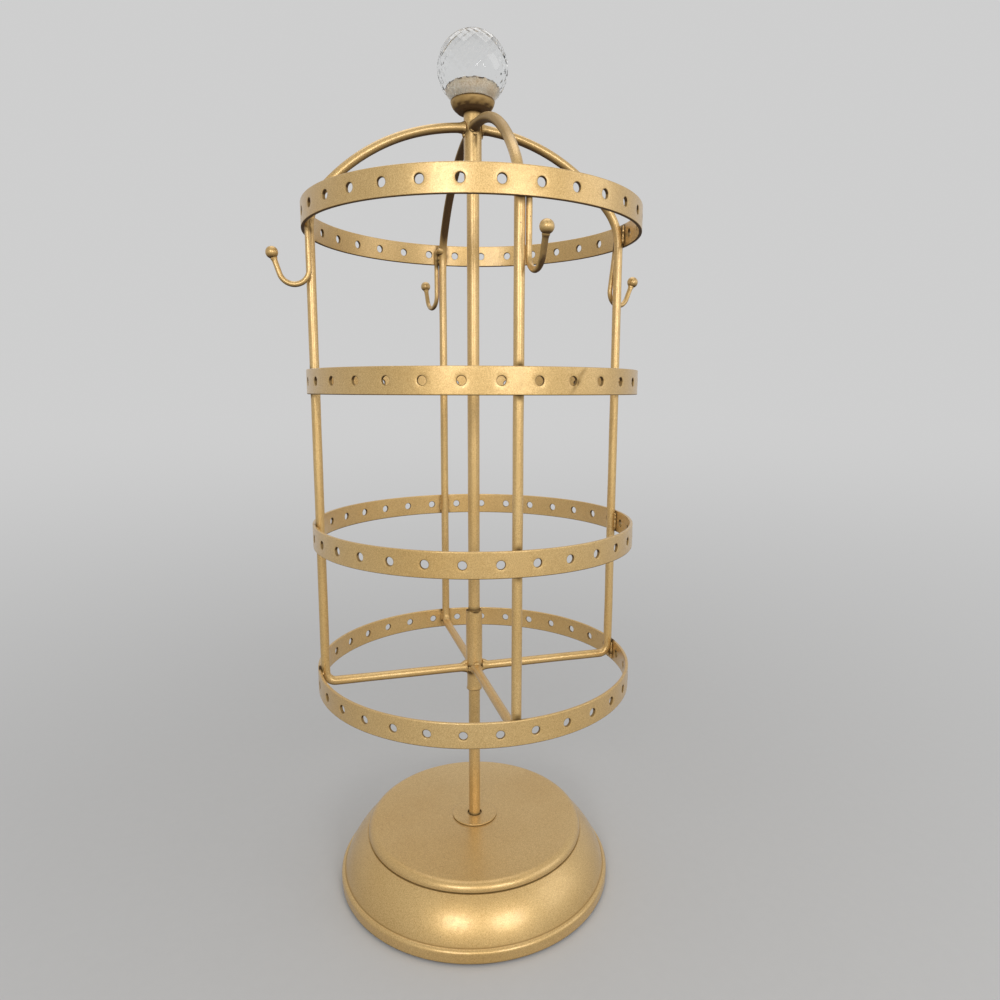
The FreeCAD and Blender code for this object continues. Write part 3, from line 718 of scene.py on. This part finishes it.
def tubeWallGrid(look, low, high, isLower):
    # Outside up, rounded top edge, bore down, rounded lower edge.
    outer, bore, step = look["radius"], look["bore"], look["step"]
    profile = chain(
        arcRun((outer - 0.3, low + 0.3), 0.3, -90, 0, 0.15),
        straightRun((outer, low + 0.3), (outer, high - 0.25), step),
        arcRun((outer - 0.25, high - 0.25), 0.25, 0, 90, 0.12),
        arcRun((bore + 0.4, high - 0.4), 0.4, 90, 180, 0.15),
        straightRun((bore, high - 0.4), (bore, low + 0.4), step * 3),
        arcRun((bore + 0.4, low + 0.4), 0.4, 180, 270, 0.15),
    )
    profile = np.concatenate([profile, profile[:1]])
    if isLower:  # drawn in below the waist's top, with a lip at the very end
        outside = profile[:, 0] > outer - 0.7
        narrow = look["waist"] * np.clip(look["waistTop"] - profile[:, 1], 0, 1)
        profile[:, 0] += outside * (look["lip"] * band(profile[:, 1] - low - 0.7, 0.6) - narrow)
    turn = fullTurn(look["segments"])
    swell = 0.03 * ripple(profile[:, 1, None] * 0.25, turn, 7) * (profile[:, :1] > outer - 0.8)
    grid = pushedOut(turnedGrid(profile, look["segments"]), swell)
    if isLower:  # the upper edge is torn where the paint was broken by turning the cage
        torn = 0.22 * ripple(0, 3 * turn, 14) - 0.1
        grid[..., 2] += torn * (profile[:, 1, None] > high - 0.6)
    return grid


def lowerTubeTearsAndShade(points):
    # Dark tone along both torn edges, partly torn paint and partly painted shade of the gaps
    # there, and painted shade in the pits between the spokes.
    azimuth, _, height = polar(points)
    low, high = turningTube["lower"]
    torn = np.clip(0.75 + 0.5 * ripple(0, azimuth * 3, 15), 0, 1)
    top, bottom = torn * band(height - high + 0.05, 0.5), torn * band(height - low, 0.45)
    pits = [
        onAxis(spoke + aside, 4.3, up)
        for spoke in wireAzimuths.values() for aside in (-38, 38) for up in (112.6, 115.2)]
    return darkest(0.95 * top, 0.95 * nearness(points, pits, 1.5), 0.8 * bottom)


def upperTubeShadeAndDrip(points):
    # Painted shade under the cup, burnt tone with painted shade beside the arches' ends, and
    # burnt tone down one drip.
    top = band(points[:, 2] - turningTube["upper"][1], 1.1)
    arms = nearness(points, [onAxis(arm + 38, 4.3, 378.4) for arm in wireAzimuths.values()], 1.4)
    drip = nearness(points, [onAxis(-82, 4.3, up) for up in (376, 374.8, 373.5, 372)], 0.7)
    return darkest(0.95 * top, 0.8 * arms, 0.7 * drip)


for end, sootAndShade in (("lower", lowerTubeTearsAndShade), ("upper", upperTubeShadeAndDrip)):
    wall = tubeWallGrid(turningTube, *turningTube[end], end == "lower")
    paintedPiece("turning_tube_" + end, [wall], "cage", sootAndShade, end + "_sleeve")
print("turning tubes made")


# Welds.

weldMetal = {
    "ringBeadRadius": 0.64, "ringBeadPitch": 2.4, "ringBeadOut": 77.75, "ringBeadAcross": 2.15,
    "ringBeadSpan": (0.9, 10.4),   # above the ring's lower edge
    "collarRadius": 2.30, "collarThickness": 0.55, "collarOut": 4.5,
    "hubHeight": bentWire["spokeHeight"], "crownHeight": 380.3,
}
weldDrops = {  # middle (out, across, up) and half sizes
    "betweenSpokes": ((4.35, 0, 113.9), (0.8, 1.15, 1.3)),
    "betweenSpokesHigher": ((4.35, 0, 114.3), (0.8, 1.15, 1.3)),
    "leftFillet": ((5.7, 0, 116.7), (0.95, 1.5, 3.5)),      # fillets climb from a spoke to the tube
    "rightFillet": ((5.7, 0, 116.7), (0.95, 1.5, 2.8)),
    "backFillet": ((5.7, 0, 116.7), (0.95, 1.5, 2.6)),
    "frontPatch": ((4.9, 0.3, 117.2), (1.2, 1.8, 1.2)),
    "underArch": ((4.3, 0, 377.3), (0.7, 1.0, 1.1)),
    "run": ((4.05, 0, 374.6), (0.5, 0.45, 3.6)),            # paint that has run down
    "hookTop": ((76.3, necklaceHook["across"] * 0.72, 338.3), (1.5, 1.5, 1.425)),
    "backHookTop": ((75.0, 1.4, 338.3), (2.35, 2.35, 2.2325)),
    "hookSide": ((76.2, necklaceHook["across"] * 0.60, 333.9), (0.8, 0.75, 2.2)),
}


def ringBeadGrid(look, lowerEdge, across, seed):
    # A bead up the corner between wire and ring. Its radius swells at each pitch and tapers
    # at the ends: radius * (0.72 + 0.28 * |sine|) * root of (1 - way from the middle to the sixth).
    low, high = (lowerEdge + up for up in look["ringBeadSpan"])
    path = straightRun((look["ringBeadOut"], low), (look["ringBeadOut"], high), 0.3, 0.05)
    rise = path[:, 1] - low
    way = rise / (high - low)
    scallop = 0.72 + 0.28 * np.abs(np.sin(np.pi * rise / look["ringBeadPitch"] + seed))
    taper = np.sqrt(np.clip(1 - (2 * way - 1) ** 6, 0.02, 1))
    sides = 14
    lump = 1 + 0.12 * ripple(way[:, None] * 14, fullTurn(sides), seed)
    radius = look["ringBeadRadius"] * (scallop * taper)[:, None] * lump
    grid = closeEnds(tubeGrid(path, radius, sides))
    grid[..., 1] += across
    return grid


def collarGrid(look, height, seed):
    # An uneven ring of weld round a wire's end, where it meets a tube.
    way, turn = fullTurn(28)[:, None], fullTurn(12)
    thick = look["collarThickness"] * (1 + 0.3 * ripple(0, 2 * way, seed))
    reach = look["collarRadius"] + thick * np.cos(turn)
    return together(
        look["collarOut"] + 0.9 * thick * np.sin(turn), reach * np.cos(way),
        height + reach * np.sin(way))


def dropGrid(name, azimuth, seed, lean=0):
    # A lumpy drop: the half sizes times the directions of a ball, swollen by a ripple that fades
    # at the poles, leaned outwards by some degrees and set at its middle.
    middle, halfSizes = weldDrops[name]
    tilt, turn = np.linspace(0, np.pi, 15)[:, None], fullTurn(20)
    fade = np.sin(tilt)
    swell = 1 + 0.14 * fade * ripple(3 * tilt, turn, seed)
    direction = together(fade * np.cos(turn), fade * np.sin(turn), np.cos(tilt))
    drop = leaned(direction * np.array(halfSizes) * swell[..., None], lean)
    return placed(np.array(middle) + drop, azimuth)


def weldSoot(points):
    # Uneven patches: the upper part of a ripple over the height and the width.
    return 0.9 * np.clip(ripple(points[:, 2] * 1.7, points[:, 0] + points[:, 1], 3) - 0.15, 0, 1)


for number, (level, lowerEdge) in enumerate(ringLowerEdges.items()):
    beads = []
    for k, azimuth in enumerate(wireAzimuths.values()):
        for side in (-1, 1):
            across, seed = side * weldMetal["ringBeadAcross"], 8 * number + 2 * k + side + 1
            beads.append(placed(ringBeadGrid(weldMetal, lowerEdge, across, seed), azimuth))
    paintedPiece("ring_welds_" + level, beads, "cage", weldSoot)

hub, crown, hookWelds = [], [], []
for k, (side, azimuth) in enumerate(wireAzimuths.items()):
    hub.append(placed(collarGrid(weldMetal, weldMetal["hubHeight"], 60 + k), azimuth))
    hub.append(dropGrid("betweenSpokesHigher" if k % 2 else "betweenSpokes", azimuth + 45, 70 + k))
    crown.append(placed(collarGrid(weldMetal, weldMetal["crownHeight"], 80 + k), azimuth))
    crown.append(dropGrid("underArch", azimuth, 90 + k))
    hookWelds.append(dropGrid("backHookTop" if side == "back" else "hookTop", azimuth, 100 + k))
    hookWelds.append(dropGrid("hookSide", azimuth, 104 + k))
for k, side in enumerate(("left", "right", "back")):
    hub.append(dropGrid(side + "Fillet", wireAzimuths[side], 76 + k, -60))
hub.append(dropGrid("frontPatch", wireAzimuths["front"], 79))
crown.append(dropGrid("run", -97, 96))
paintedPiece("hub_welds", hub, "cage", lambda points: 0.5 * weldSoot(points), undersideShade=0.8)
paintedPiece("crown_welds", crown, "cage", weldSoot)
paintedPiece("hook_welds", hookWelds, "cage", weldSoot)
print("welds made")


# Post and washer.

centrePost = {
    "radius": 3.0, "thread": 2.5, "pitch": 0.8, "threadDepth": 0.22, "segments": 56,
    "bottom": 13.5, "plate": 29.7, "tip": 377.3, "chamfer": 0.8,
}
footWasher = {"radius": 11.9, "bore": 3.55, "low": 29.7, "thickness": 0.9, "edge": 0.25}


def postGrid(look):
    # Threaded foot, shoulder on the plate, long plain shank and chamfered tip.
    # The thread's radius = its radius - depth * (half + half of a cosine of the height / pitch).
    plain, narrow, chamfer = look["radius"], look["thread"], look["chamfer"]
    bottom, plate, tip = look["bottom"], look["plate"], look["tip"]
    thread = straightRun((narrow, bottom + 0.3), (narrow, plate - 0.4), 0.1, 0.02)
    turns = (thread[:, 1] - bottom) / look["pitch"]
    thread[:, 0] -= look["threadDepth"] * (0.5 + 0.5 * np.cos(2 * np.pi * turns))
    profile = chain(
        [(0, bottom), (narrow - 0.3, bottom)],
        thread,
        [(narrow, plate), (plain - 0.1, plate)],
        straightRun((plain, plate + 0.1), (plain, tip - chamfer), 2.2),
        [(plain - chamfer, tip), (0, tip)],
    )
    wave = ripple(profile[:, 1, None] * 0.06, fullTurn(look["segments"]), 12)
    swell = 0.02 * wave * (profile[:, :1] > plain - 0.05)
    return pushedOut(turnedGrid(profile, look["segments"]), swell)


def postWearAndShade(points):
    # Worn lines just above and below the lower tube, and painted shade at the foot.
    low, high = turningTube["lower"]
    collar = band(points[:, 2] - high - 0.6, 0.55)
    below = band(points[:, 2] - low + 0.4, 0.5)
    foot = band(points[:, 2] - centrePost["plate"], 0.9)
    return darkest(0.9 * collar, 0.9 * foot, 0.5 * below)


def washerGrid(look):
    # A flat ring whose two upper corners are rounded.
    outer, bore, low, edge = look["radius"], look["bore"], look["low"], look["edge"]
    top = low + look["thickness"]
    profile = chain(
        straightRun((bore, low), (outer, low), 1.2),
        arcRun((outer - edge, top - edge), edge, 0, 90, 0.1),
        straightRun((outer - edge, top), (bore + edge, top), 0.8),
        arcRun((bore + edge, top - edge), edge, 90, 180, 0.1),
        [(bore, low)],
    )
    return turnedGrid(profile, 128)


def washerShade(points):
    # Painted shade in the bore and along the outer edge's foot.
    _, radius, height = polar(points)
    bore = band(radius - footWasher["bore"], 0.35)
    rim = band(height - footWasher["low"], 0.35) * (radius > footWasher["radius"] - 0.2)
    return darkest(0.95 * bore, 0.8 * rim)


paintedPiece("centre_post", [postGrid(centrePost)], "base", postWearAndShade, "centre_rod")
paintedPiece("foot_washer", [washerGrid(footWasher)], "base", washerShade, "rod_washer")
print("post made")


# Base.

raisedPlate = {
    "radius": 57.2, "top": 29.7, "edgeRound": 3.7, "sheet": 1.2, "ledge": 25.2, "lip": 0.5,
    "bore": 2.65, "segments": 288, "wave": 0.035,
}
domedSkirt = {
    "rimRadius": 71.8, "rimTop": 7.4, "rimRound": 2.0, "lowerRound": 1.6, "gap": 0.3, "flange": 5.0,
    "domeBend": 40.0, "domeTop": 57.8, "ledge": 25.2, "neck": 46.0, "sheet": 1.2,
    "segments": 320, "wave": 0.05,
}


def unevenTurn(profile, segments, wave, seed):
    # A turned sheet whose radius wanders by a few hundredths, as spun and sprayed metal does.
    along = profile[:, 1, None] * 0.05 + profile[:, :1] * 0.04
    offset = wave * ripple(along, fullTurn(segments), seed)
    fade = np.clip(profile[:, :1] / 8, 0, 1)  # none at the axis
    return pushedOut(turnedGrid(profile, segments), offset * fade)


def plateGrid(look):
    # Flat top, rounded shoulder, side down to the ledge, and the same sheet inside.
    outer, top, bend, sheet = look["radius"], look["top"], look["edgeRound"], look["sheet"]
    ledge, lip, bore = look["ledge"], look["lip"], look["bore"]
    shoulder = top - bend
    profile = chain(
        straightRun((bore, top), (outer - bend, top), 1.4),
        arcRun((outer - bend, shoulder), bend, 90, 0, 0.3),
        straightRun((outer, shoulder), (outer, ledge + lip), 0.5, 0.05),
        [(outer - lip, ledge), (outer - sheet, ledge)],
        [(outer - sheet, shoulder)],
        arcRun((outer - bend, shoulder), bend - sheet, 0, 90, 0.5),
        straightRun((outer - bend, top - sheet), (bore, top - sheet), 6),
        [(bore, top)],
    )
    return unevenTurn(profile, look["segments"], look["wave"], 31)


def plateShade(points):
    # Painted shade where the plate's edge meets the ledge, and round the washer.
    _, radius, height = polar(points)
    nearEdge = radius > raisedPlate["radius"] - raisedPlate["sheet"]
    foot = band(height - raisedPlate["ledge"] - 0.1, 0.45) * nearEdge
    hole = band(radius - footWasher["radius"] - 0.05, 0.22) * (height > raisedPlate["top"] - 0.2)
    return darkest(0.95 * foot, 0.8 * hole)


def skirtGrid(look):
    # Neck, flat ledge, dome's arc, crease, rolled rim, flange under, and the same sheet inside.
    # The arc's centre lies beside its chord's middle, at the root of (its radius squared - half the
    # chord squared).
    rim, rimTop, rounded = look["rimRadius"], look["rimTop"], look["rimRound"]
    gap, lower, flangeEnd = look["gap"], look["lowerRound"], look["rimRadius"] - look["flange"]
    sheet, ledge, neck, domeTop = look["sheet"], look["ledge"], look["neck"], look["domeTop"]
    bend, inner, crease = look["domeBend"], look["domeBend"] - look["sheet"], rim - rounded
    run, rise = crease - domeTop, ledge - rimTop
    chord = math.hypot(run, rise)
    drop = math.sqrt(bend ** 2 - chord ** 2 / 4)
    centre = (
        (crease + domeTop) / 2 - rise * drop / chord, (ledge + rimTop) / 2 - run * drop / chord)

    def angleAt(out, up):
        return math.degrees(math.atan2(up - centre[1], out - centre[0]))

    def innerAngle(up):
        return angleAt(centre[0] + math.sqrt(inner ** 2 - (up - centre[1]) ** 2), up)

    profile = chain(
        straightRun((neck, ledge), (domeTop, ledge), 1.6),
        arcRun(centre, bend, angleAt(domeTop, ledge), angleAt(crease, rimTop), 0.5),
        arcRun((crease, rimTop - rounded), rounded, 90, 0, 0.25),
        straightRun((rim, rimTop - rounded), (rim, gap + lower), 0.7),
        arcRun((rim - lower, gap + lower), lower, 0, -90, 0.3),
        straightRun((rim - lower, gap), (flangeEnd, gap), 1.2),
        [(flangeEnd, gap + sheet), (rim - lower, gap + sheet)],
        arcRun((rim - lower, gap + lower), lower - sheet, -90, 0, 0.3),
        [(rim - sheet, rimTop - rounded)],
        arcRun((crease, rimTop - rounded), rounded - sheet, 0, 90, 0.5),
        arcRun(centre, inner, innerAngle(rimTop - sheet), innerAngle(ledge - sheet), 2.0),
        [(neck, ledge - sheet), (neck, ledge)],
    )
    return unevenTurn(profile, look["segments"], look["wave"], 35)


def skirtShade(points):
    # Painted shade: a dark groove under the plate, a thin dark line in the crease above the rim,
    # and darker at the foot.
    _, radius, height = polar(points)
    creaseRadius = domedSkirt["rimRadius"] - domedSkirt["rimRound"]
    groove = band(radius - raisedPlate["radius"] + 0.05, 0.3) * (height > domedSkirt["ledge"] - 0.2)
    crease = band(np.hypot(radius - creaseRadius, height - domedSkirt["rimTop"] - 0.1), 0.4)
    foot = band(height - domedSkirt["gap"], 0.6)
    return darkest(0.95 * groove, 0.45 * crease, 0.4 * foot)


paintedPiece("raised_plate", [plateGrid(raisedPlate)], "base", plateShade, "base_top_plate")
paintedPiece("domed_skirt", [skirtGrid(domedSkirt)], "base", skirtShade, "base_skirt")
print("base made")


# Finial.

finialCup = {
    "low": 387.3, "height": 5.4, "rim": 10.4, "foot": 7.9, "footRound": 1.5, "lip": 0.7,
    "belly": 0.5, "dish": 0.6, "seat": 9.0, "bore": 2.05,
}
cutCrystal = {
    "radius": 16.6, "sides": 20, "rows": 11,
    "seat": 8.5, "top": 6.6,   # radii of the two flats
    "standsAt": 392.1, "polish": 0.13,
}


def cupGrid(look):
    # Flat foot, a side whose belly is half a sine wave, rounded lip, dish and bore.
    low, high = look["low"], look["low"] + look["height"]
    foot, rounded, rim, lip = look["foot"], look["footRound"], look["rim"], look["lip"]
    floor = high - look["dish"]
    corner = math.atan2(rim - foot, high - lip - low - rounded)   # how far the side leans out
    start = np.array([
        foot - rounded + rounded * math.cos(corner), low + rounded - rounded * math.sin(corner)])
    end = np.array([rim, high - lip])
    share = np.linspace(0, 1, 12)[:, None]
    belly = np.array([math.cos(corner), -math.sin(corner)])
    side = start + (end - start) * share + belly * look["belly"] * np.sin(np.pi * share)
    profile = chain(
        straightRun((look["bore"], low), (foot - rounded, low), 0.8),
        arcRun((foot - rounded, low + rounded), rounded, -90, -math.degrees(corner), 0.25),
        side,
        arcRun((rim - lip, high - lip), lip, 0, 90, 0.15),
        straightRun((rim - lip, high), (look["seat"], floor), 0.3, 0.05),
        straightRun((look["seat"], floor), (look["bore"], floor), 1.2),
        [(look["bore"], low)],
    )
    return turnedGrid(profile, 96)


def cupBlotchesAndShade(points):
    # Painted shade under the cup and in a line along its lip; the belly is blotched, and painted
    # shade makes it darker below.
    azimuth, radius, height = polar(points)
    low, rim, lip = finialCup["low"], finialCup["rim"], finialCup["lip"]
    fromTop = low + finialCup["height"] - height
    under = band(height - low, 1.5)
    lipLine = band(np.hypot(radius - rim + 0.1, fromTop - lip / 2), 0.55)
    blotch = np.clip(ripple(height * 1.3, azimuth * 4, 50) + 0.2, 0, 1)
    belly = np.clip((fromTop + 0.2) / 4.6, 0, 1) * (0.30 + 0.30 * blotch)
    return darkest(under, lipLine, 0.08 + belly)


def crystalLevels(look):
    # Corner rows on a ball: a line from the row before last, through the middle of two corners
    # of the last row, meets the ball at the next row, so every facet's four corners are level.
    step = math.cos(math.pi / look["sides"])
    size = look["radius"]
    found = [(size, 0.0), (size * step, size * math.sin(math.pi / look["sides"]))]
    while len(found) <= look["rows"]:
        (startOut, startUp), (lastOut, lastUp) = found[-2:]
        out, up = lastOut * step - startOut, lastUp - startUp
        travel = -2 * (startOut * out + startUp * up) / (out * out + up * up)
        found.append((startOut + travel * out, startUp + travel * up))
    return found


def makeCrystal(look):
    # Kite facets between the rows, cut flat where the ball stands and on its top, then every
    # edge is given a narrow polished bevel.
    upper = crystalLevels(look)
    rows = np.array([(out, -up) for out, up in reversed(upper[1:])] + upper)
    sides = look["sides"]
    turn = np.arange(sides) * 2 + (np.arange(len(rows)) % 2)[:, None]
    angle = np.pi * turn / sides
    out, up = rows[:, :1], rows[:, 1:]
    corners = together(out * np.cos(angle), out * np.sin(angle), up).reshape(-1, 3)
    last = len(rows) - 1

    def number(level, halfTurn):
        return level * sides + ((halfTurn - level % 2) // 2) % sides

    facets = [
        [number(level - 1, half + 1), number(level, half + 2),
         number(level + 1, half + 1), number(level, half)]
        for level in range(1, last) for half in range(level % 2, 2 * sides, 2)]
    for end, inward in ((0, 1), (last, -1)):
        facets.append([number(end, half) for half in range(end % 2, 2 * sides, 2)])
        facets += [
            [number(end, half), number(end, half + 2), number(end + inward, half + 1)]
            for half in range(end % 2, 2 * sides, 2)]
    seatDepth = math.sqrt(look["radius"] ** 2 - look["seat"] ** 2)
    topRise = math.sqrt(look["radius"] ** 2 - look["top"] ** 2)
    shape = bmesh.new()
    points = [shape.verts.new(corner) for corner in corners]
    for facet in facets:
        shape.faces.new([points[k] for k in facet])
    for height, keepBelow in ((-seatDepth, False), (topRise, True)):
        cut = bmesh.ops.bisect_plane(
            shape, geom=shape.verts[:] + shape.edges[:] + shape.faces[:], dist=1e-5,
            plane_co=(0, 0, height), plane_no=(0, 0, 1),
            clear_outer=keepBelow, clear_inner=not keepBelow)
        rim = [item for item in cut["geom_cut"] if isinstance(item, bmesh.types.BMEdge)]
        bmesh.ops.contextual_create(shape, geom=rim)
    bmesh.ops.remove_doubles(shape, verts=shape.verts, dist=0.05)
    bmesh.ops.recalc_face_normals(shape, faces=shape.faces)
    bmesh.ops.bevel(
        shape, geom=shape.edges[:] + shape.verts[:], offset=look["polish"], offset_type="OFFSET",
        segments=1, profile=0.5, affect="EDGES", clamp_overlap=True)
    bmesh.ops.recalc_face_normals(shape, faces=shape.faces)
    bmesh.ops.translate(shape, verts=shape.verts, vec=(0, 0, look["standsAt"] + seatDepth))
    bmesh.ops.scale(shape, verts=shape.verts, vec=(0.001, 0.001, 0.001))
    openEdges = sum(1 for edge in shape.edges if len(edge.link_faces) != 2)
    print("  crystal: faces", len(shape.faces), "open edges", openEdges)
    mesh = bpy.data.meshes.new("cut_crystal")
    shape.to_mesh(mesh)
    shape.free()
    addPiece(mesh, "cage", crystalFinish, "finial_crystal")


refractionPlug = {"low": 392.2, "high": 399.8, "foot": 7.9, "top": 10.3, "torn": 0.10}


def refractionPlugGrid(look):
    # A tan plug in the crystal's foot, a painted image of the gold cup seen through the glass: a
    # short turned block with a torn upper edge.
    low, high, top = look["low"], look["high"], look["top"]
    profile = chain(
        straightRun((0, low), (look["foot"], low), 1.0),
        straightRun((look["foot"], low), (top, high - 0.3), 0.4, 0.05),
        arcRun((top - 0.3, high - 0.3), 0.3, 0, 90, 0.1),
        straightRun((top - 0.3, high), (0, high + 0.4), 1.0),
    )
    segments = 120
    grid = turnedGrid(profile, segments)
    torn = look["torn"] * ripple(0, 4 * fullTurn(segments), 33)
    torn = torn * (profile[:, :1] > top - 0.8)
    grid[..., 2] += torn * np.clip((profile[:, 1, None] - high + 1.5) / 1.5, 0, 1)
    return grid


def refractionPlugSpecks(points):
    # Painted dark specks along the torn edge and a little painted shade near the dish, as the cup
    # seen through the glass shows them.
    azimuth, _, height = polar(points)
    specks = np.clip(0.7 + 0.8 * ripple(0, azimuth * 7, 34, waves=9), 0, 1)
    edge = 1.2 * specks * band(height - refractionPlug["high"], 0.6)
    return darkest(edge, 0.22 * band(height - refractionPlug["low"] - 3.0, 1.5))


paintedPiece("finial_dish", [cupGrid(finialCup)], "cage", cupBlotchesAndShade, "finial_cup", undersideShade=0.5)
paintedPiece("painted_refraction_plug", [refractionPlugGrid(refractionPlug)], "cage", refractionPlugSpecks, undersideShade=0, finish=refractionFinish)
makeCrystal(cutCrystal)
print("finial made")


# Stage, light and camera.

studio = {
    "background": 0.62, "fill": 0.43, "floor": 0.60,   # how bright
    "fadeNear": 0.15, "fadeFar": 7.0, "fadeSoftness": 0.36, "floorRadius": 8.0,   # metres
}


def rayIsSeen(tree):
    # 1 for rays from the camera, off shiny surfaces and through glass.
    path = put(tree, "ShaderNodeLightPath").outputs
    mirrored = calculated(tree, "MAXIMUM", path["Is Camera Ray"], path["Is Glossy Ray"])
    return calculated(tree, "MAXIMUM", mirrored, path["Is Transmission Ray"])


def mixShaders(tree, factor, first, second):
    mix = put(tree, "ShaderNodeMixShader")
    for socket, value in zip(mix.inputs, (factor, first, second)):
        feed(tree, socket, value)
    return mix.outputs["Shader"]


def makeWorld(look):
    # A dim even light from all round, and a background of another brightness.
    world = bpy.data.worlds.new("softStudio")
    bpy.context.scene.world = world
    world.use_nodes = True
    tree = world.node_tree
    tree.nodes.clear()
    light = put(tree, "ShaderNodeBackground", Color=grey(1.0), Strength=look["fill"])
    shown = put(tree, "ShaderNodeBackground", Color=grey(look["background"]), Strength=1.0)
    either = mixShaders(
        tree, rayIsSeen(tree), light.outputs["Background"], shown.outputs["Background"])
    put(tree, "ShaderNodeOutputWorld", Surface=either)


def makeFloor(look):
    # A pale disc: it takes the shadow near the object and fades into the background far from it.
    # The fade goes evenly with 1 / (distance + softness), so that it is quick at first.
    finish, tree, place = newFinish("paleFloor")
    length = put(tree, "ShaderNodeVectorMath", operation="LENGTH")
    feed(tree, length.inputs[0], place)
    further = calculated(tree, "ADD", length.outputs["Value"], look["fadeSoftness"])
    closeness = calculated(tree, "DIVIDE", 1.0, further)
    near, far = (1 / (look[end] + look["fadeSoftness"]) for end in ("fadeNear", "fadeFar"))
    fade = scaleRange(tree, closeness, 0.0, 1.0, near, far, interpolation_type="SMOOTHSTEP")
    speckle = noise(tree, place, 180.0, 3.0)
    tones = [grey(look["floor"] * (1 + change)) for change in (-0.015, 0.015)]
    matt = put(tree, "ShaderNodeBsdfDiffuse", Color=blendColours(tree, speckle, *tones))
    glow = put(tree, "ShaderNodeEmission", Color=grey(look["background"]), Strength=1.0)
    factor = calculated(tree, "MULTIPLY", fade, rayIsSeen(tree))
    either = mixShaders(tree, factor, matt.outputs["BSDF"], glow.outputs["Emission"])
    put(tree, "ShaderNodeOutputMaterial", Surface=either)

    radius = np.concatenate([[1e-5], np.geomspace(0.1, look["floorRadius"], 12)])
    columns = 96
    grid = turnedGrid(np.stack([radius, 0 * radius], -1), columns)
    points = grid[:, :-1].reshape(-1, 3)
    number = np.arange(len(points)).reshape(len(radius), columns)
    after = np.roll(number, -1, axis=1)
    faces = np.stack([number[:-1], number[1:], after[1:], after[:-1]], -1).reshape(-1, 4)
    mesh = bpy.data.meshes.new("pale_floor")
    mesh.from_pydata(points.tolist(), [], [number[0].tolist()] + faces.tolist())
    mesh.materials.append(finish)
    floor = bpy.data.objects.new("pale_floor", mesh)
    bpy.context.scene.collection.objects.link(floor)


softBoxes = {  # name: place, aimed at, width and height in metres, watts
    "softBoxLeft": ((-0.45, -0.85, 0.47), (0, 0, 0.24), 0.30, 0.24, 2.35),
    "softBoxRight": ((0.22, -0.96, 0.44), (0, 0, 0.24), 0.38, 0.24, 2.3),
    "softBoxSide": ((0.95, -0.50, 0.55), (0, 0, 0.26), 0.70, 0.60, 1.3),
    "softBoxTop": ((0.05, 0.25, 1.30), (0, 0, 0.2), 0.9, 0.9, 3.1),
}


def makeSoftBox(name, place, target, width, height, watts):
    # A lamp that shines from its place towards its target.
    lamp = bpy.data.lights.new(name, "AREA")
    lamp.shape = "RECTANGLE"
    lamp.size, lamp.size_y, lamp.energy = width, height, watts
    lamp.color = (1.0, 0.985, 0.96)  # a little warm
    holder = bpy.data.objects.new(name, lamp)
    holder.location = place
    holder.rotation_euler = (Vector(target) - Vector(place)).to_track_quat("-Z", "Y").to_euler()
    holder.visible_camera = False  # so that no view has a lamp in it
    bpy.context.scene.collection.objects.link(holder)


viewpoint = {
    "focalPixels": 706.8, "pictureWidth": 1000, "pitch": 8.905, "roll": 0.1675, "pan": 2.15,
    "distance": 356.53, "height": 259.32, "turn": -13.5,   # degrees and millimetres
}


def makeCamera(look):
    # It looks level along +Y, is panned, pitched down and rolled, then swung about the axis.
    pitch, roll, pan = (math.radians(look[key]) for key in ("pitch", "roll", "pan"))
    level = math.cos(pitch)
    ahead = Vector((math.sin(pan) * level, math.cos(pan) * level, -math.sin(pitch)))
    right = Vector((math.cos(pan), -math.sin(pan), 0))
    up = right.cross(ahead)
    rolledRight = right * math.cos(roll) + up * math.sin(roll)
    rolledUp = up * math.cos(roll) - right * math.sin(roll)
    swing = Matrix.Rotation(math.radians(look["turn"]), 3, "Z")
    place = swing @ Vector((0, -look["distance"], look["height"])) / 1000
    columns = [swing @ rolledRight, swing @ rolledUp, -(swing @ ahead)]
    lens = bpy.data.cameras.new("studioCamera")
    lens.sensor_width = 36.0
    lens.lens = 36.0 * look["focalPixels"] / look["pictureWidth"]
    lens.clip_start = 0.01
    holder = bpy.data.objects.new("studioCamera", lens)
    facing = Matrix(columns).transposed().to_4x4()
    holder.matrix_world = Matrix.Translation(place) @ facing
    bpy.context.scene.collection.objects.link(holder)
    bpy.context.scene.camera = holder


makeWorld(studio)
makeFloor(studio)
for name, settings in softBoxes.items():
    makeSoftBox(name, *settings)
makeCamera(viewpoint)
bpy.context.scene.view_settings.view_transform = "Standard"
bpy.context.view_layer.update()
print("stage set")
